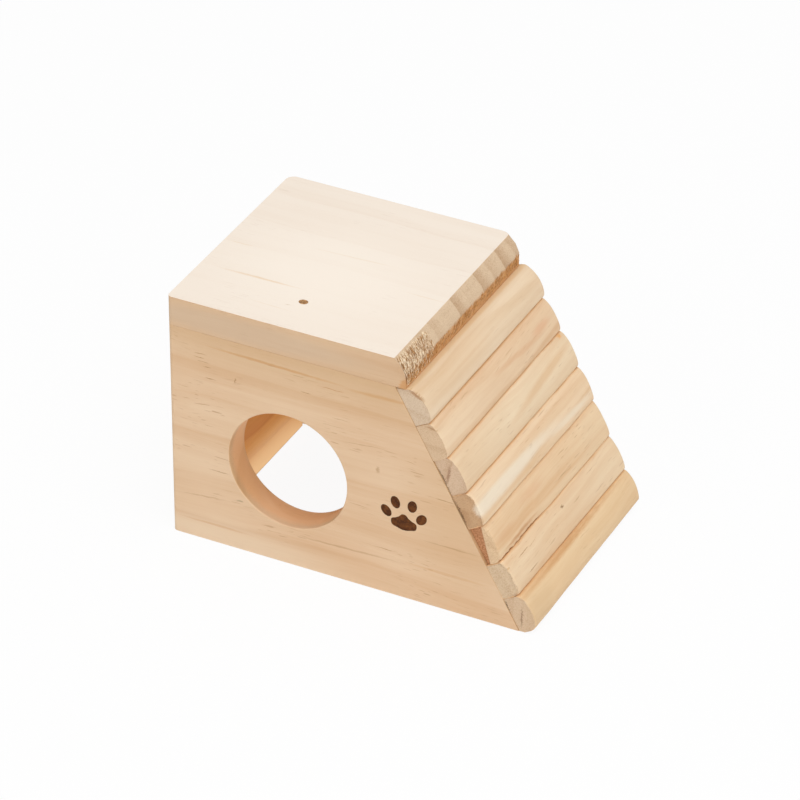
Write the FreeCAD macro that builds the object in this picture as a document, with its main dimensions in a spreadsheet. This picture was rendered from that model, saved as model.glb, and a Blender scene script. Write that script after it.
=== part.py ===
"""Wooden hamster house: four pine boards and a ladder of seven rounded slats on the slope.

The house has no floor. Two side panels stand on edge, an end wall closes the left end between
them, and a roof board lies on top. Both panels are cut to a slope on the right, and the slats lie
side by side down that slope, from the roof's eave to the floor. Hidden dowels hold the boards.

Frame: +X from the closed end to the foot of the ladder, +Y from the entry side to the back,
+Z up. The origin is the middle of the footprint on the floor. Lengths are millimetres.
"""
import FreeCAD, Part
import os
import Sketcher

Vector = FreeCAD.Vector

# Driving dimensions: alias, value, what it sets
DRIVING = [
    ("height", 85.0, "floor to the top of the roof"),
    ("depth", 79.0, "outside of the front panel to outside of the back panel"),
    ("panel_board", 10.0, "thickness of the side panels"),
    ("wall_board", 9.0, "thickness of the end wall"),
    ("roof_thickness", 10.0, "thickness of the roof board"),
    ("panel_foot", 118.0, "length of a side panel along the floor"),
    ("slope_angle", 61.0, "degrees between the floor and the ladder"),
    ("eave_overhang", 3.4, "reach of the roof past the top corner of the panels"),
    ("bevel_run", 3.8, "length of the bevel on the roof's end"),
    ("bevel_drop", 5.6, "height of the bevel on the roof's end"),
    ("entry_radius", 20.0, "radius of the entry hole"),
    ("entry_along", 40.2, "closed end to the middle of the entry hole"),
    ("entry_height", 33.7, "floor to the middle of the entry hole"),
    ("entry_round", 1.0, "rounding of the entry hole's outer rim"),
    ("front_corner", 1.6, "rounding of the upright corners on the entry side"),
    ("back_corner", 2.8, "rounding of the upright corners on the back"),
    ("arris", 0.8, "rounding of the roof's top edge and the panels' lower edge"),
    ("slat_count", 7, "slats on the ladder"),
    ("slat_side", 5.2, "height of a slat's straight sides"),
    ("slat_crown", 7.1, "height of a slat at its middle"),
    ("slat_gap", 0.15, "gap between two slats"),
    ("slat_shoulder", 1.0, "rounding between a slat's side and its crown"),
    ("slat_end_bevel", 0.4, "bevel of a slat's crown at its ends"),
    ("eave_gap", 0.1, "gap between the roof's arris and the first slat"),
    ("floor_trim", 1.7, "width of the last slat that the floor cut takes off"),
    ("wane_slat", 5, "number of the slat with a waney lower face"),
    ("wane_upper", 4.1, "depth of the wane at the slat's upper side"),
    ("wane_lower", 1.1, "depth of the wane at the slat's lower side"),
    ("wane_length", 7.0, "length of the wane from the entry side"),
    ("dowel_radius", 2.5, "radius of a dowel"),
    ("dowel_fit", 0.05, "radial gap between a dowel and its hole"),
    ("dowel_chamfer", 0.4, "chamfer at a dowel's ends"),
    ("dowel_in_edge", 10.0, "length of a dowel inside a board's edge"),
    ("dowel_in_face", 5.5, "length of a dowel inside a board's face"),
    ("dowel_relief", 0.5, "room at the bottom of a dowel's hole"),
    ("roof_dowel_inset", 17.0, "end of a panel's top edge to the middle of a roof dowel"),
    ("wall_dowel_inset", 17.0, "end of the wall's upright edge to the middle of a wall dowel"),
]

# Sizes that follow from the driving ones: alias, formula, what it is
DERIVED = [
    ("rise", "=height - roof_thickness", "height of the panels and the wall"),
    ("shoulder", "=panel_foot - rise / tan(slope_angle)", "length of a panel's top edge"),
    ("inside_depth", "=depth - 2 * panel_board", "gap between the panels"),
    ("eave_length", "=shoulder + eave_overhang", "closed end to the roof's lower right arris"),
    ("roof_top_length", "=eave_length - bevel_run", "closed end to the top of the roof's bevel"),
    ("bevel_foot", "=roof_thickness - bevel_drop", "underside of the roof to the foot of its bevel"),
    ("eave_run", "=(panel_foot - eave_length) * cos(slope_angle)", "level part of the ladder's length"),
    ("course_top", "=eave_run + rise * sin(slope_angle) - eave_gap", "foot of the slope to the first slat"),
    ("slat_pitch", "=(course_top + floor_trim) / slat_count", "slat to slat"),
    ("slat_width", "=slat_pitch - slat_gap", "width of a slat"),
    ("slat_swell", "=slat_crown - slat_side", "height of a slat's crown above its sides"),
    ("slat_arc", "=((slat_width / 2) ^ 2 + slat_swell ^ 2) / (2 * slat_swell)", "radius of a slat's crown"),
    ("hole_radius", "=dowel_radius + dowel_fit", "radius of a dowel's hole"),
    ("edge_hole", "=dowel_in_edge + dowel_relief", "depth of a hole in a board's edge"),
    ("face_hole", "=dowel_in_face + dowel_relief", "depth of a hole in a board's face"),
    ("dowel_length", "=dowel_in_edge + dowel_in_face", "length of a dowel"),
]

# Places of the dowels, as formulas over the sheet
PANEL_MIDDLE = "sizes.panel_board / 2"
WALL_MIDDLE = "sizes.wall_board / 2"
ROOF_DOWELS_ALONG = ("sizes.wall_board + sizes.roof_dowel_inset", "sizes.shoulder - sizes.roof_dowel_inset")
WALL_DOWELS_UP = ("sizes.wall_dowel_inset", "sizes.rise - sizes.wall_dowel_inset")
FRONT_FACE = "-sizes.depth / 2"
BACK_PANEL_FACE = "sizes.depth / 2 - sizes.panel_board"

NEAR = 1e-4

doc = FreeCAD.newDocument("hamster_house")
sheet = doc.addObject("Spreadsheet::Sheet", "sizes")
parts = {}


def fill_sheet():
    """Write the driving and the derived sizes, and one cell for the middle of the footprint."""
    rows = DRIVING + DERIVED + [("middle", 0.0, "closed end to the middle of the footprint")]
    for row, (alias, value, note) in enumerate(rows, start=1):
        sheet.set("A%d" % row, note)
        sheet.set("B%d" % row, str(value))
        sheet.setAlias("B%d" % row, alias)
    doc.recompute()


def size(alias):
    """Return the number in the sheet's cell of that alias."""
    return float(sheet.get(alias))


def bind(thing, **formulas):
    """Bind properties to formulas over the sheet, with two underscores for a dot."""
    for name, formula in formulas.items():
        thing.setExpression(name.replace("__", "."), formula)


def place(piece, along="0", across="0", up="0"):
    """Put a piece in the house: from the closed end, from the middle of the depth, from the floor."""
    bind(
        piece,
        Placement__Base__x="(%s) - sizes.middle" % along,
        Placement__Base__y=across,
        Placement__Base__z=up,
    )


def new_body(label):
    """Start a body for one sub-part."""
    body = doc.addObject("PartDesign::Body", label)
    body.Label = label
    parts[label] = body
    return body


def new_sketch(body, role, name, offset=None):
    """Start a sketch on one of the body's origin planes, moved along the plane's normal if asked."""
    plane = next(feature for feature in body.Origin.OriginFeatures if feature.Role == role)
    sketch = body.newObject("Sketcher::SketchObject", name)
    sketch.AttachmentSupport = [(plane, "")]
    sketch.MapMode = "FlatFace"
    if offset:
        bind(sketch, AttachmentOffset__Base__z=offset)
    return sketch


def dimension(sketch, formula, kind, *where):
    """Add a dimension to a sketch and bind it to a formula."""
    start = sketch.evalExpression(formula) if formula else 0
    index = sketch.addConstraint(Sketcher.Constraint(kind, *where, float(start)))
    sketch.setExpression("Constraints[%d]" % index, formula)


def fix_point(sketch, element, vertex, along, up):
    """Give a point of a sketch its place: each of the two is a formula, or None on the axis."""
    if along:
        dimension(sketch, along, "DistanceX", -1, 1, element, vertex)
    else:
        sketch.addConstraint(Sketcher.Constraint("PointOnObject", element, vertex, -2))
    if up:
        dimension(sketch, up, "DistanceY", -1, 1, element, vertex)
    else:
        sketch.addConstraint(Sketcher.Constraint("PointOnObject", element, vertex, -1))


def draw_outline(sketch, corners):
    """Draw straight lines round the corners, each given by two formulas, and fix every corner."""
    points = [[float(sketch.evalExpression(f)) if f else 0.0 for f in corner] for corner in corners]
    count = len(points)
    for index, start in enumerate(points):
        end = points[(index + 1) % count]
        sketch.addGeometry(Part.LineSegment(Vector(*start, 0), Vector(*end, 0)))
    for index in range(count):
        sketch.addConstraint(Sketcher.Constraint("Coincident", index, 2, (index + 1) % count, 1))
    for index, (along, up) in enumerate(corners):
        fix_point(sketch, index, 1, along, up)


def draw_circles(sketch, centres, radius):
    """Draw circles of one radius, with each centre given by two formulas."""
    for index, (along, up) in enumerate(centres):
        middle = Vector(float(sketch.evalExpression(along)), float(sketch.evalExpression(up)), 0)
        turn = float(sketch.evalExpression(radius))
        sketch.addGeometry(Part.Circle(middle, Vector(0, 0, 1), turn))
        dimension(sketch, radius, "Radius", index)
        fix_point(sketch, index, 3, along, up)


def add_pad(body, sketch, name, length, backwards=True):
    """Pad a sketch; backwards points away from the sketch's normal."""
    pad = body.newObject("PartDesign::Pad", name)
    pad.Profile = sketch
    pad.Reversed = backwards
    bind(pad, Length=length)
    doc.recompute()
    return pad


def add_pocket(body, sketch, name, length, backwards=False):
    """Cut a sketch into the body; the cut runs against the sketch's normal unless backwards."""
    before = body.Shape.Volume
    pocket = body.newObject("PartDesign::Pocket", name)
    pocket.Profile = sketch
    pocket.Reversed = backwards
    bind(pocket, Length=length)
    doc.recompute()
    if not body.Shape.Volume < before - NEAR:
        raise RuntimeError("%s of %s cuts nothing" % (name, body.Label))
    return pocket


def edges_where(feature, test):
    """Return the names of a feature's edges that pass a test on their bounding box."""
    edges = feature.Shape.Edges
    return ["Edge%d" % (index + 1) for index, edge in enumerate(edges) if test(edge.BoundBox)]


def dress_edges(body, kind, name, test, **sizes):
    """Add a fillet or a chamfer on the edges of the body's tip that pass a test."""
    base = body.Tip
    found = edges_where(base, test)
    if not found:
        raise RuntimeError("%s of %s finds no edge" % (name, body.Label))
    feature = body.newObject(kind, name)
    feature.Base = (base, found)
    bind(feature, **sizes)
    body.Tip = feature
    doc.recompute()


def add_round(body, name, test, radius):
    """Round the edges of the body's tip that pass a test."""
    dress_edges(body, "PartDesign::Fillet", name, test, Radius=radius)


def add_bevel(body, name, test, width):
    """Bevel the edges of the body's tip that pass a test."""
    dress_edges(body, "PartDesign::Chamfer", name, test, Size=width)


def same(value, wanted):
    """Tell whether two lengths agree."""
    return abs(value - wanted) < NEAR


def lies_at(low, high, wanted):
    """Tell whether a box side is flat and lies at a wanted place."""
    return same(low, wanted) and same(high, wanted)


def build_panel(label, across, outer, inner, corner, turned):
    """Build one side panel; outer and inner are its faces, turned is true where inner comes first."""
    body = new_body(label)
    outline = new_sketch(body, "XZ_Plane", "outline")
    draw_outline(
        outline,
        [
            (None, None),
            ("sizes.panel_foot", None),
            ("sizes.shoulder", "sizes.rise"),
            (None, "sizes.rise"),
        ],
    )
    add_pad(body, outline, "board", "sizes.panel_board")
    add_round(
        body,
        "upright_corner",
        lambda box: lies_at(box.XMin, box.XMax, 0) and lies_at(box.YMin, box.YMax, outer),
        corner,
    )
    add_round(
        body,
        "lower_arris",
        lambda box: lies_at(box.ZMin, box.ZMax, 0) and lies_at(box.YMin, box.YMax, outer),
        "sizes.arris",
    )
    tops = new_sketch(body, "XY_Plane", "roof_dowel_places", "sizes.rise")
    draw_circles(tops, [(along, PANEL_MIDDLE) for along in ROOF_DOWELS_ALONG], "sizes.hole_radius")
    add_pocket(body, tops, "roof_dowel_holes", "sizes.edge_hole")
    sides = new_sketch(body, "XZ_Plane", "wall_dowel_places", "-sizes.panel_board" if inner else None)
    draw_circles(sides, [(WALL_MIDDLE, up) for up in WALL_DOWELS_UP], "sizes.hole_radius")
    add_pocket(body, sides, "wall_dowel_holes", "sizes.face_hole", backwards=not turned)
    place(body, across=across)
    return body


def build_front_panel():
    """Build the panel on the entry side, with its round hole."""
    body = build_panel("front_panel", FRONT_FACE, 0, size("panel_board"), "sizes.front_corner", False)
    ring = new_sketch(body, "XZ_Plane", "entry")
    draw_circles(ring, [("sizes.entry_along", "sizes.entry_height")], "sizes.entry_radius")
    add_pocket(body, ring, "entry_hole", "sizes.panel_board")
    add_round(
        body,
        "entry_rim",
        lambda box: lies_at(box.YMin, box.YMax, 0) and same(box.XLength, 2 * size("entry_radius")),
        "sizes.entry_round",
    )


def build_back_panel():
    """Build the plain panel on the back."""
    board = size("panel_board")
    build_panel("back_panel", BACK_PANEL_FACE, board, 0, "sizes.back_corner", True)


def build_end_wall():
    """Build the wall that closes the left end between the panels."""
    body = new_body("end_wall")
    outline = new_sketch(body, "XZ_Plane", "outline")
    draw_outline(
        outline,
        [
            (None, None),
            ("sizes.wall_board", None),
            ("sizes.wall_board", "sizes.rise"),
            (None, "sizes.rise"),
        ],
    )
    add_pad(body, outline, "board", "sizes.inside_depth")
    places = [(WALL_MIDDLE, up) for up in WALL_DOWELS_UP]
    near_end = new_sketch(body, "XZ_Plane", "front_dowel_places")
    draw_circles(near_end, places, "sizes.hole_radius")
    add_pocket(body, near_end, "front_dowel_holes", "sizes.edge_hole")
    far_end = new_sketch(body, "XZ_Plane", "back_dowel_places", "-sizes.inside_depth")
    draw_circles(far_end, places, "sizes.hole_radius")
    add_pocket(body, far_end, "back_dowel_holes", "sizes.edge_hole", backwards=True)
    place(body, across="-sizes.inside_depth / 2")


def build_roof_board():
    """Build the roof board, with its bevelled end over the ladder."""
    body = new_body("roof_board")
    outline = new_sketch(body, "XZ_Plane", "outline")
    draw_outline(
        outline,
        [
            (None, None),
            ("sizes.eave_length", None),
            ("sizes.eave_length", "sizes.bevel_foot"),
            ("sizes.roof_top_length", "sizes.roof_thickness"),
            (None, "sizes.roof_thickness"),
        ],
    )
    add_pad(body, outline, "board", "sizes.depth")
    add_round(
        body,
        "front_left_corner",
        lambda box: lies_at(box.XMin, box.XMax, 0) and lies_at(box.YMin, box.YMax, 0),
        "sizes.front_corner",
    )
    add_round(
        body,
        "back_corners",
        lambda box: lies_at(box.YMin, box.YMax, size("depth"))
        and (lies_at(box.XMin, box.XMax, 0) or box.XMin > size("roof_top_length") - NEAR)
        and box.ZLength > NEAR,
        "sizes.back_corner",
    )
    add_round(
        body,
        "top_arris",
        lambda box: lies_at(box.ZMin, box.ZMax, size("roof_thickness")),
        "sizes.arris",
    )
    under = new_sketch(body, "XY_Plane", "dowel_places")
    across = (PANEL_MIDDLE, "sizes.depth - " + PANEL_MIDDLE)
    draw_circles(under, [(x, y) for x in ROOF_DOWELS_ALONG for y in across], "sizes.hole_radius")
    add_pocket(body, under, "dowel_holes", "sizes.face_hole", backwards=True)
    place(body, across=FRONT_FACE, up="sizes.rise")


def build_slat(number):
    """Build one slat of the ladder, counted from the roof down, and seat it on the slope.

    In the slat's own frame X runs down the slope from its upper side and Z points out of the slope.
    """
    label = "slat_%d" % number
    body = new_body(label)
    section = new_sketch(body, "XZ_Plane", "section")
    width = size("slat_width")
    side = size("slat_side")
    foot_left, foot_right = Vector(0, 0, 0), Vector(width, 0, 0)
    top_left, top_right = Vector(0, side, 0), Vector(width, side, 0)
    section.addGeometry(Part.LineSegment(foot_left, foot_right))
    section.addGeometry(Part.LineSegment(foot_right, top_right))
    crown = Vector(width / 2, size("slat_crown"), 0)
    section.addGeometry(Part.Arc(top_right, crown, top_left))
    section.addGeometry(Part.LineSegment(top_left, foot_left))
    section.addConstraint(Sketcher.Constraint("Coincident", 0, 2, 1, 1))
    section.addConstraint(Sketcher.Constraint("Coincident", 1, 2, 2, 1))
    section.addConstraint(Sketcher.Constraint("Coincident", 2, 2, 3, 1))
    section.addConstraint(Sketcher.Constraint("Coincident", 3, 2, 0, 1))
    fix_point(section, 0, 1, None, None)
    fix_point(section, 1, 1, "sizes.slat_width", None)
    fix_point(section, 2, 1, "sizes.slat_width", "sizes.slat_side")
    fix_point(section, 3, 1, None, "sizes.slat_side")
    dimension(section, "sizes.slat_arc", "Radius", 2)
    add_pad(body, section, "length", "sizes.depth")
    add_round(
        body,
        "shoulders",
        lambda box: lies_at(box.ZMin, box.ZMax, side) and same(box.YLength, size("depth")),
        "sizes.slat_shoulder",
    )
    add_bevel(
        body,
        "ends",
        lambda box: same(box.YLength, 0) and same(box.ZMax, size("slat_crown")),
        "sizes.slat_end_bevel",
    )
    if number == round(size("wane_slat")):
        cut_wane(body)
    seat = "sizes.course_top - %d * sizes.slat_pitch" % (number - 1)
    body.Placement = FreeCAD.Placement(Vector(), FreeCAD.Rotation(Vector(0, 1, 0), size("slope_angle")))
    bind(body, Placement__Rotation__Angle="sizes.slope_angle * 1 deg")
    place(
        body,
        along="sizes.panel_foot - (%s) * cos(sizes.slope_angle)" % seat,
        across=FRONT_FACE,
        up="(%s) * sin(sizes.slope_angle)" % seat,
    )


def cut_wane(body):
    """Cut the waney lower face that one slat has at the entry side."""
    wane = new_sketch(body, "XZ_Plane", "wane")
    draw_outline(
        wane,
        [
            (None, None),
            ("sizes.slat_width", None),
            ("sizes.slat_width", "sizes.wane_lower"),
            (None, "sizes.wane_upper"),
        ],
    )
    add_pocket(body, wane, "wane_cut", "sizes.wane_length")


def trim_to_floor(label):
    """Cut a slat off level with the floor."""
    blank = parts[label]
    blank.Label = label + "_blank"
    waste = doc.addObject("Part::Box", "floor_waste")
    bind(waste, Length="sizes.panel_foot", Width="2 * sizes.depth", Height="sizes.height")
    place(waste, along="sizes.shoulder", across="-sizes.depth", up="-sizes.height")
    cut = doc.addObject("Part::Cut", label + "_trimmed")
    cut.Base = blank
    cut.Tool = waste
    cut.Label = label
    parts[label] = cut
    doc.recompute()


def build_dowels(label, seats):
    """Build a group of equal dowels; a seat is (axis, turn, along, across, up) of a dowel's start."""
    dowels = []
    for number, (axis, turn, along, across, up) in enumerate(seats, start=1):
        rod = doc.addObject("Part::Cylinder", "%s_rod_%d" % (label, number))
        bind(rod, Radius="sizes.dowel_radius", Height="sizes.dowel_length")
        rod.Placement = FreeCAD.Placement(Vector(), FreeCAD.Rotation(axis, turn))
        place(rod, along, across, up)
        doc.recompute()
        dowel = doc.addObject("Part::Chamfer", "%s_%d" % (label, number))
        dowel.Base = rod
        chamfer = size("dowel_chamfer")
        rims = [index + 1 for index, edge in enumerate(rod.Shape.Edges) if edge.Closed]
        dowel.Edges = [(rim, chamfer, chamfer) for rim in rims]
        dowels.append(dowel)
    group = doc.addObject("Part::Compound", label)
    group.Links = dowels
    group.Label = label
    parts[label] = group


def build_roof_dowels():
    """Build the upright dowels between the panels and the roof."""
    upright = Vector(0, 0, 1)
    across = ("-sizes.depth / 2 + " + PANEL_MIDDLE, "sizes.depth / 2 - " + PANEL_MIDDLE)
    build_dowels(
        "roof_dowels",
        [(upright, 0, x, y, "sizes.rise - sizes.dowel_in_edge") for y in across for x in ROOF_DOWELS_ALONG],
    )


def build_wall_dowels():
    """Build the level dowels between the panels and the end wall, which start inside the panels."""
    sideways = Vector(1, 0, 0)
    inside = "sizes.inside_depth / 2 + sizes.dowel_in_face"
    build_dowels(
        "end_wall_dowels",
        [(sideways, -90, WALL_MIDDLE, "-(%s)" % inside, up) for up in WALL_DOWELS_UP]
        + [(sideways, 90, WALL_MIDDLE, inside, up) for up in WALL_DOWELS_UP],
    )


def true_box(shape):
    """Return a shape's exact bounding box, which a rounded shape's quick box overstates."""
    return shape.optimalBoundingBox(False, False)


def centre_house():
    """Measure how far the ladder reaches and put the origin under the middle of the house."""
    reach = max(true_box(piece.Shape).XMax for piece in parts.values())
    middle = next(cell for cell in sheet.getUsedCells() if sheet.getAlias(cell) == "middle")
    sheet.set(middle, str(reach / 2))
    doc.recompute()


def check_document():
    """Stop if any object of the document failed or any sub-part's shape is unsound."""
    for thing in doc.Objects:
        if "Invalid" in thing.State or "Error" in thing.State:
            raise RuntimeError("%s did not rebuild: %s" % (thing.Label, thing.State))
    for label, piece in parts.items():
        if piece.Shape.isNull() or not piece.Shape.isValid():
            raise RuntimeError("%s has no sound shape" % label)


def write_parts():
    """Write one STEP file for each sub-part and print what it holds."""
    os.makedirs("parts", exist_ok=True)
    for label, piece in parts.items():
        piece.Shape.exportStep("parts/%s.step" % label)
        box = true_box(piece.Shape)
        print(
            "%-16s solids %d  volume %8.1f  x %7.2f %7.2f  y %7.2f %7.2f  z %6.2f %6.2f"
            % (label, len(piece.Shape.Solids), piece.Shape.Volume,
               box.XMin, box.XMax, box.YMin, box.YMax, box.ZMin, box.ZMax)
        )


fill_sheet()
build_front_panel()
build_back_panel()
build_end_wall()
build_roof_board()
for slat_number in range(1, round(size("slat_count")) + 1):
    build_slat(slat_number)
trim_to_floor("slat_%d" % round(size("slat_count")))
build_roof_dowels()
build_wall_dowels()
doc.recompute()
centre_house()
check_document()
write_parts()
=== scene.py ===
"""Looks of a small pine hamster house, dressed piece by piece around its packed construction.

The boards are sanded pine, the ladder is seven rounded pine slats, and a paw print is burnt into
the entry side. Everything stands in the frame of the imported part: +X runs from the closed end to
the foot of the ladder, +Y from the entry side to the back and +Z up, with the floor at zero.
Sizes in this file are millimetres, and become metres where a piece is made.
"""
import logging
import math
import random
from dataclasses import dataclass, field, replace
from enum import Enum
from functools import partial
from typing import Any, Callable, Optional, Sequence, Union

import bmesh
import bpy
from mathutils import Euler, Matrix, Vector


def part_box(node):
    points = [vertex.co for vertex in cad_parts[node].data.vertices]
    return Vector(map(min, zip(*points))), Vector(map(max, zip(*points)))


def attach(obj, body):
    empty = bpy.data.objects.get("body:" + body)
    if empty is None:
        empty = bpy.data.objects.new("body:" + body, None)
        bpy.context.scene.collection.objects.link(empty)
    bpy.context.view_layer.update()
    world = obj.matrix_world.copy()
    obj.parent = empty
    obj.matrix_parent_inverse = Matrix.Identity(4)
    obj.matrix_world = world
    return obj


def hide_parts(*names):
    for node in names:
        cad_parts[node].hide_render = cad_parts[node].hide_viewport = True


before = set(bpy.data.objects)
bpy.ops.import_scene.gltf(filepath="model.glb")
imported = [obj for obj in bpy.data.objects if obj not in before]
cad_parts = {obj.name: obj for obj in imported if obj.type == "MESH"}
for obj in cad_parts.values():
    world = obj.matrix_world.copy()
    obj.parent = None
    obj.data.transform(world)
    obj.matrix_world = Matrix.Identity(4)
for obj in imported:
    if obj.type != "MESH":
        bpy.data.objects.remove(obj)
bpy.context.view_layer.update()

log = logging.getLogger("hamster_house")

MM = 0.001  # one millimetre in metres
TOUCH = 0.01  # how near two places in millimetres count as one place
X, Y, Z = 0, 1, 2
ORIGIN, UNTURNED = Vector((0, 0, 0)), Euler((0, 0, 0))

Corners = Sequence[Vector]
Test = Callable[[Corners], bool]
Piece = bpy.types.Object
Material = bpy.types.Material
Socket = bpy.types.NodeSocket
AddNode = Callable[..., Socket]


class Element(Enum):
    """What an edit picks out: the select mode, and the element's list in an edit mesh."""

    VERTEX = ("VERT", "verts")
    EDGE = ("EDGE", "edges")
    FACE = ("FACE", "faces")


class Slot(Enum):
    """The pieces' material slots."""

    BOARD = "pine_board"
    ROOF = "pine_roof"
    SLAT = "pine_slat"


class Grain(Enum):
    """The way a piece's fibres run."""

    ALONG_HOUSE = "from the closed end to the ladder"
    ACROSS_HOUSE = "from the entry side to the back"
    ACROSS_LADDER = "across the house, with the section square to the slope"
    UPRIGHT = "from the floor up"


def lies_at(axis: int, place: float) -> Test:
    """Make a test for elements that lie at one place along an axis, in millimetres."""
    return lambda corners: all(abs(corner[axis] - place) < TOUCH for corner in corners)


def lies_past(axis: int, place: float) -> Test:
    """Make a test for elements that lie wholly past a place along an axis."""
    return lambda corners: min(corner[axis] for corner in corners) > place


def lies_before(axis: int, place: float) -> Test:
    """Make a test for elements that lie wholly before a place along an axis."""
    return lambda corners: max(corner[axis] for corner in corners) < place


def spans(axis: int, least: float = TOUCH) -> Test:
    """Make a test for edges that reach further than this along an axis."""
    return lambda corners: abs(corners[0][axis] - corners[1][axis]) > least


def square_to(axis: int) -> Test:
    """Make a test for edges that lie square to an axis."""
    return lambda corners: abs(corners[0][axis] - corners[1][axis]) < TOUCH


def all_of(*tests: Test) -> Test:
    """Make a test that asks for all of some tests."""
    return lambda corners: all(test(corners) for test in tests)


def any_of(*tests: Test) -> Test:
    """Make a test that asks for any of some tests."""
    return lambda corners: any(test(corners) for test in tests)


def rise(value: float, start: float, full: float) -> float:
    """Rise smoothly from 0 at one value to 1 at another."""
    share = min(1.0, max(0.0, (value - start) / (full - start)))
    return share * share * (3 - 2 * share)


@dataclass(frozen=True)
class House:
    """Main sizes of the house in millimetres, measured on its packed boards."""

    left: float
    foot: float
    front: float
    back: float
    rise: float
    top: float
    shoulder: float
    eave: float
    panel: float
    wall: float

    @classmethod
    def measured(cls) -> "House":
        """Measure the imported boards.

        Returns:
            The house.
        """
        panel_low, panel_high = (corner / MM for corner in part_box("front_panel"))
        wall_low, wall_high = (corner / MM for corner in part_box("end_wall"))
        roof_low, roof_high = (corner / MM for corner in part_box("roof_board"))
        points = [vertex.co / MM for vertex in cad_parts["front_panel"].data.vertices]
        return cls(
            left=panel_low.x,
            foot=panel_high.x,
            front=roof_low.y,
            back=roof_high.y,
            rise=panel_high.z,
            top=roof_high.z,
            shoulder=max(point.x for point in points if point.z > panel_high.z - TOUCH),
            eave=roof_high.x,
            panel=panel_high.y - panel_low.y,
            wall=wall_high.x - wall_low.x,
        )

    @property
    def slope(self) -> float:
        """Angle between the floor and the ladder, in radians."""
        return math.atan2(self.rise, self.foot - self.shoulder)

    @property
    def depth(self) -> float:
        """Depth of the house from the entry side to the back."""
        return self.back - self.front

    def lies_on_cut(self, corners: Corners) -> bool:
        """Tell whether an element lies on the panels' sloped cut."""
        outs = [(c.x - self.foot) * math.sin(self.slope) + c.z * math.cos(self.slope) for c in corners]
        return all(abs(out) < TOUCH for out in outs)


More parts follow.
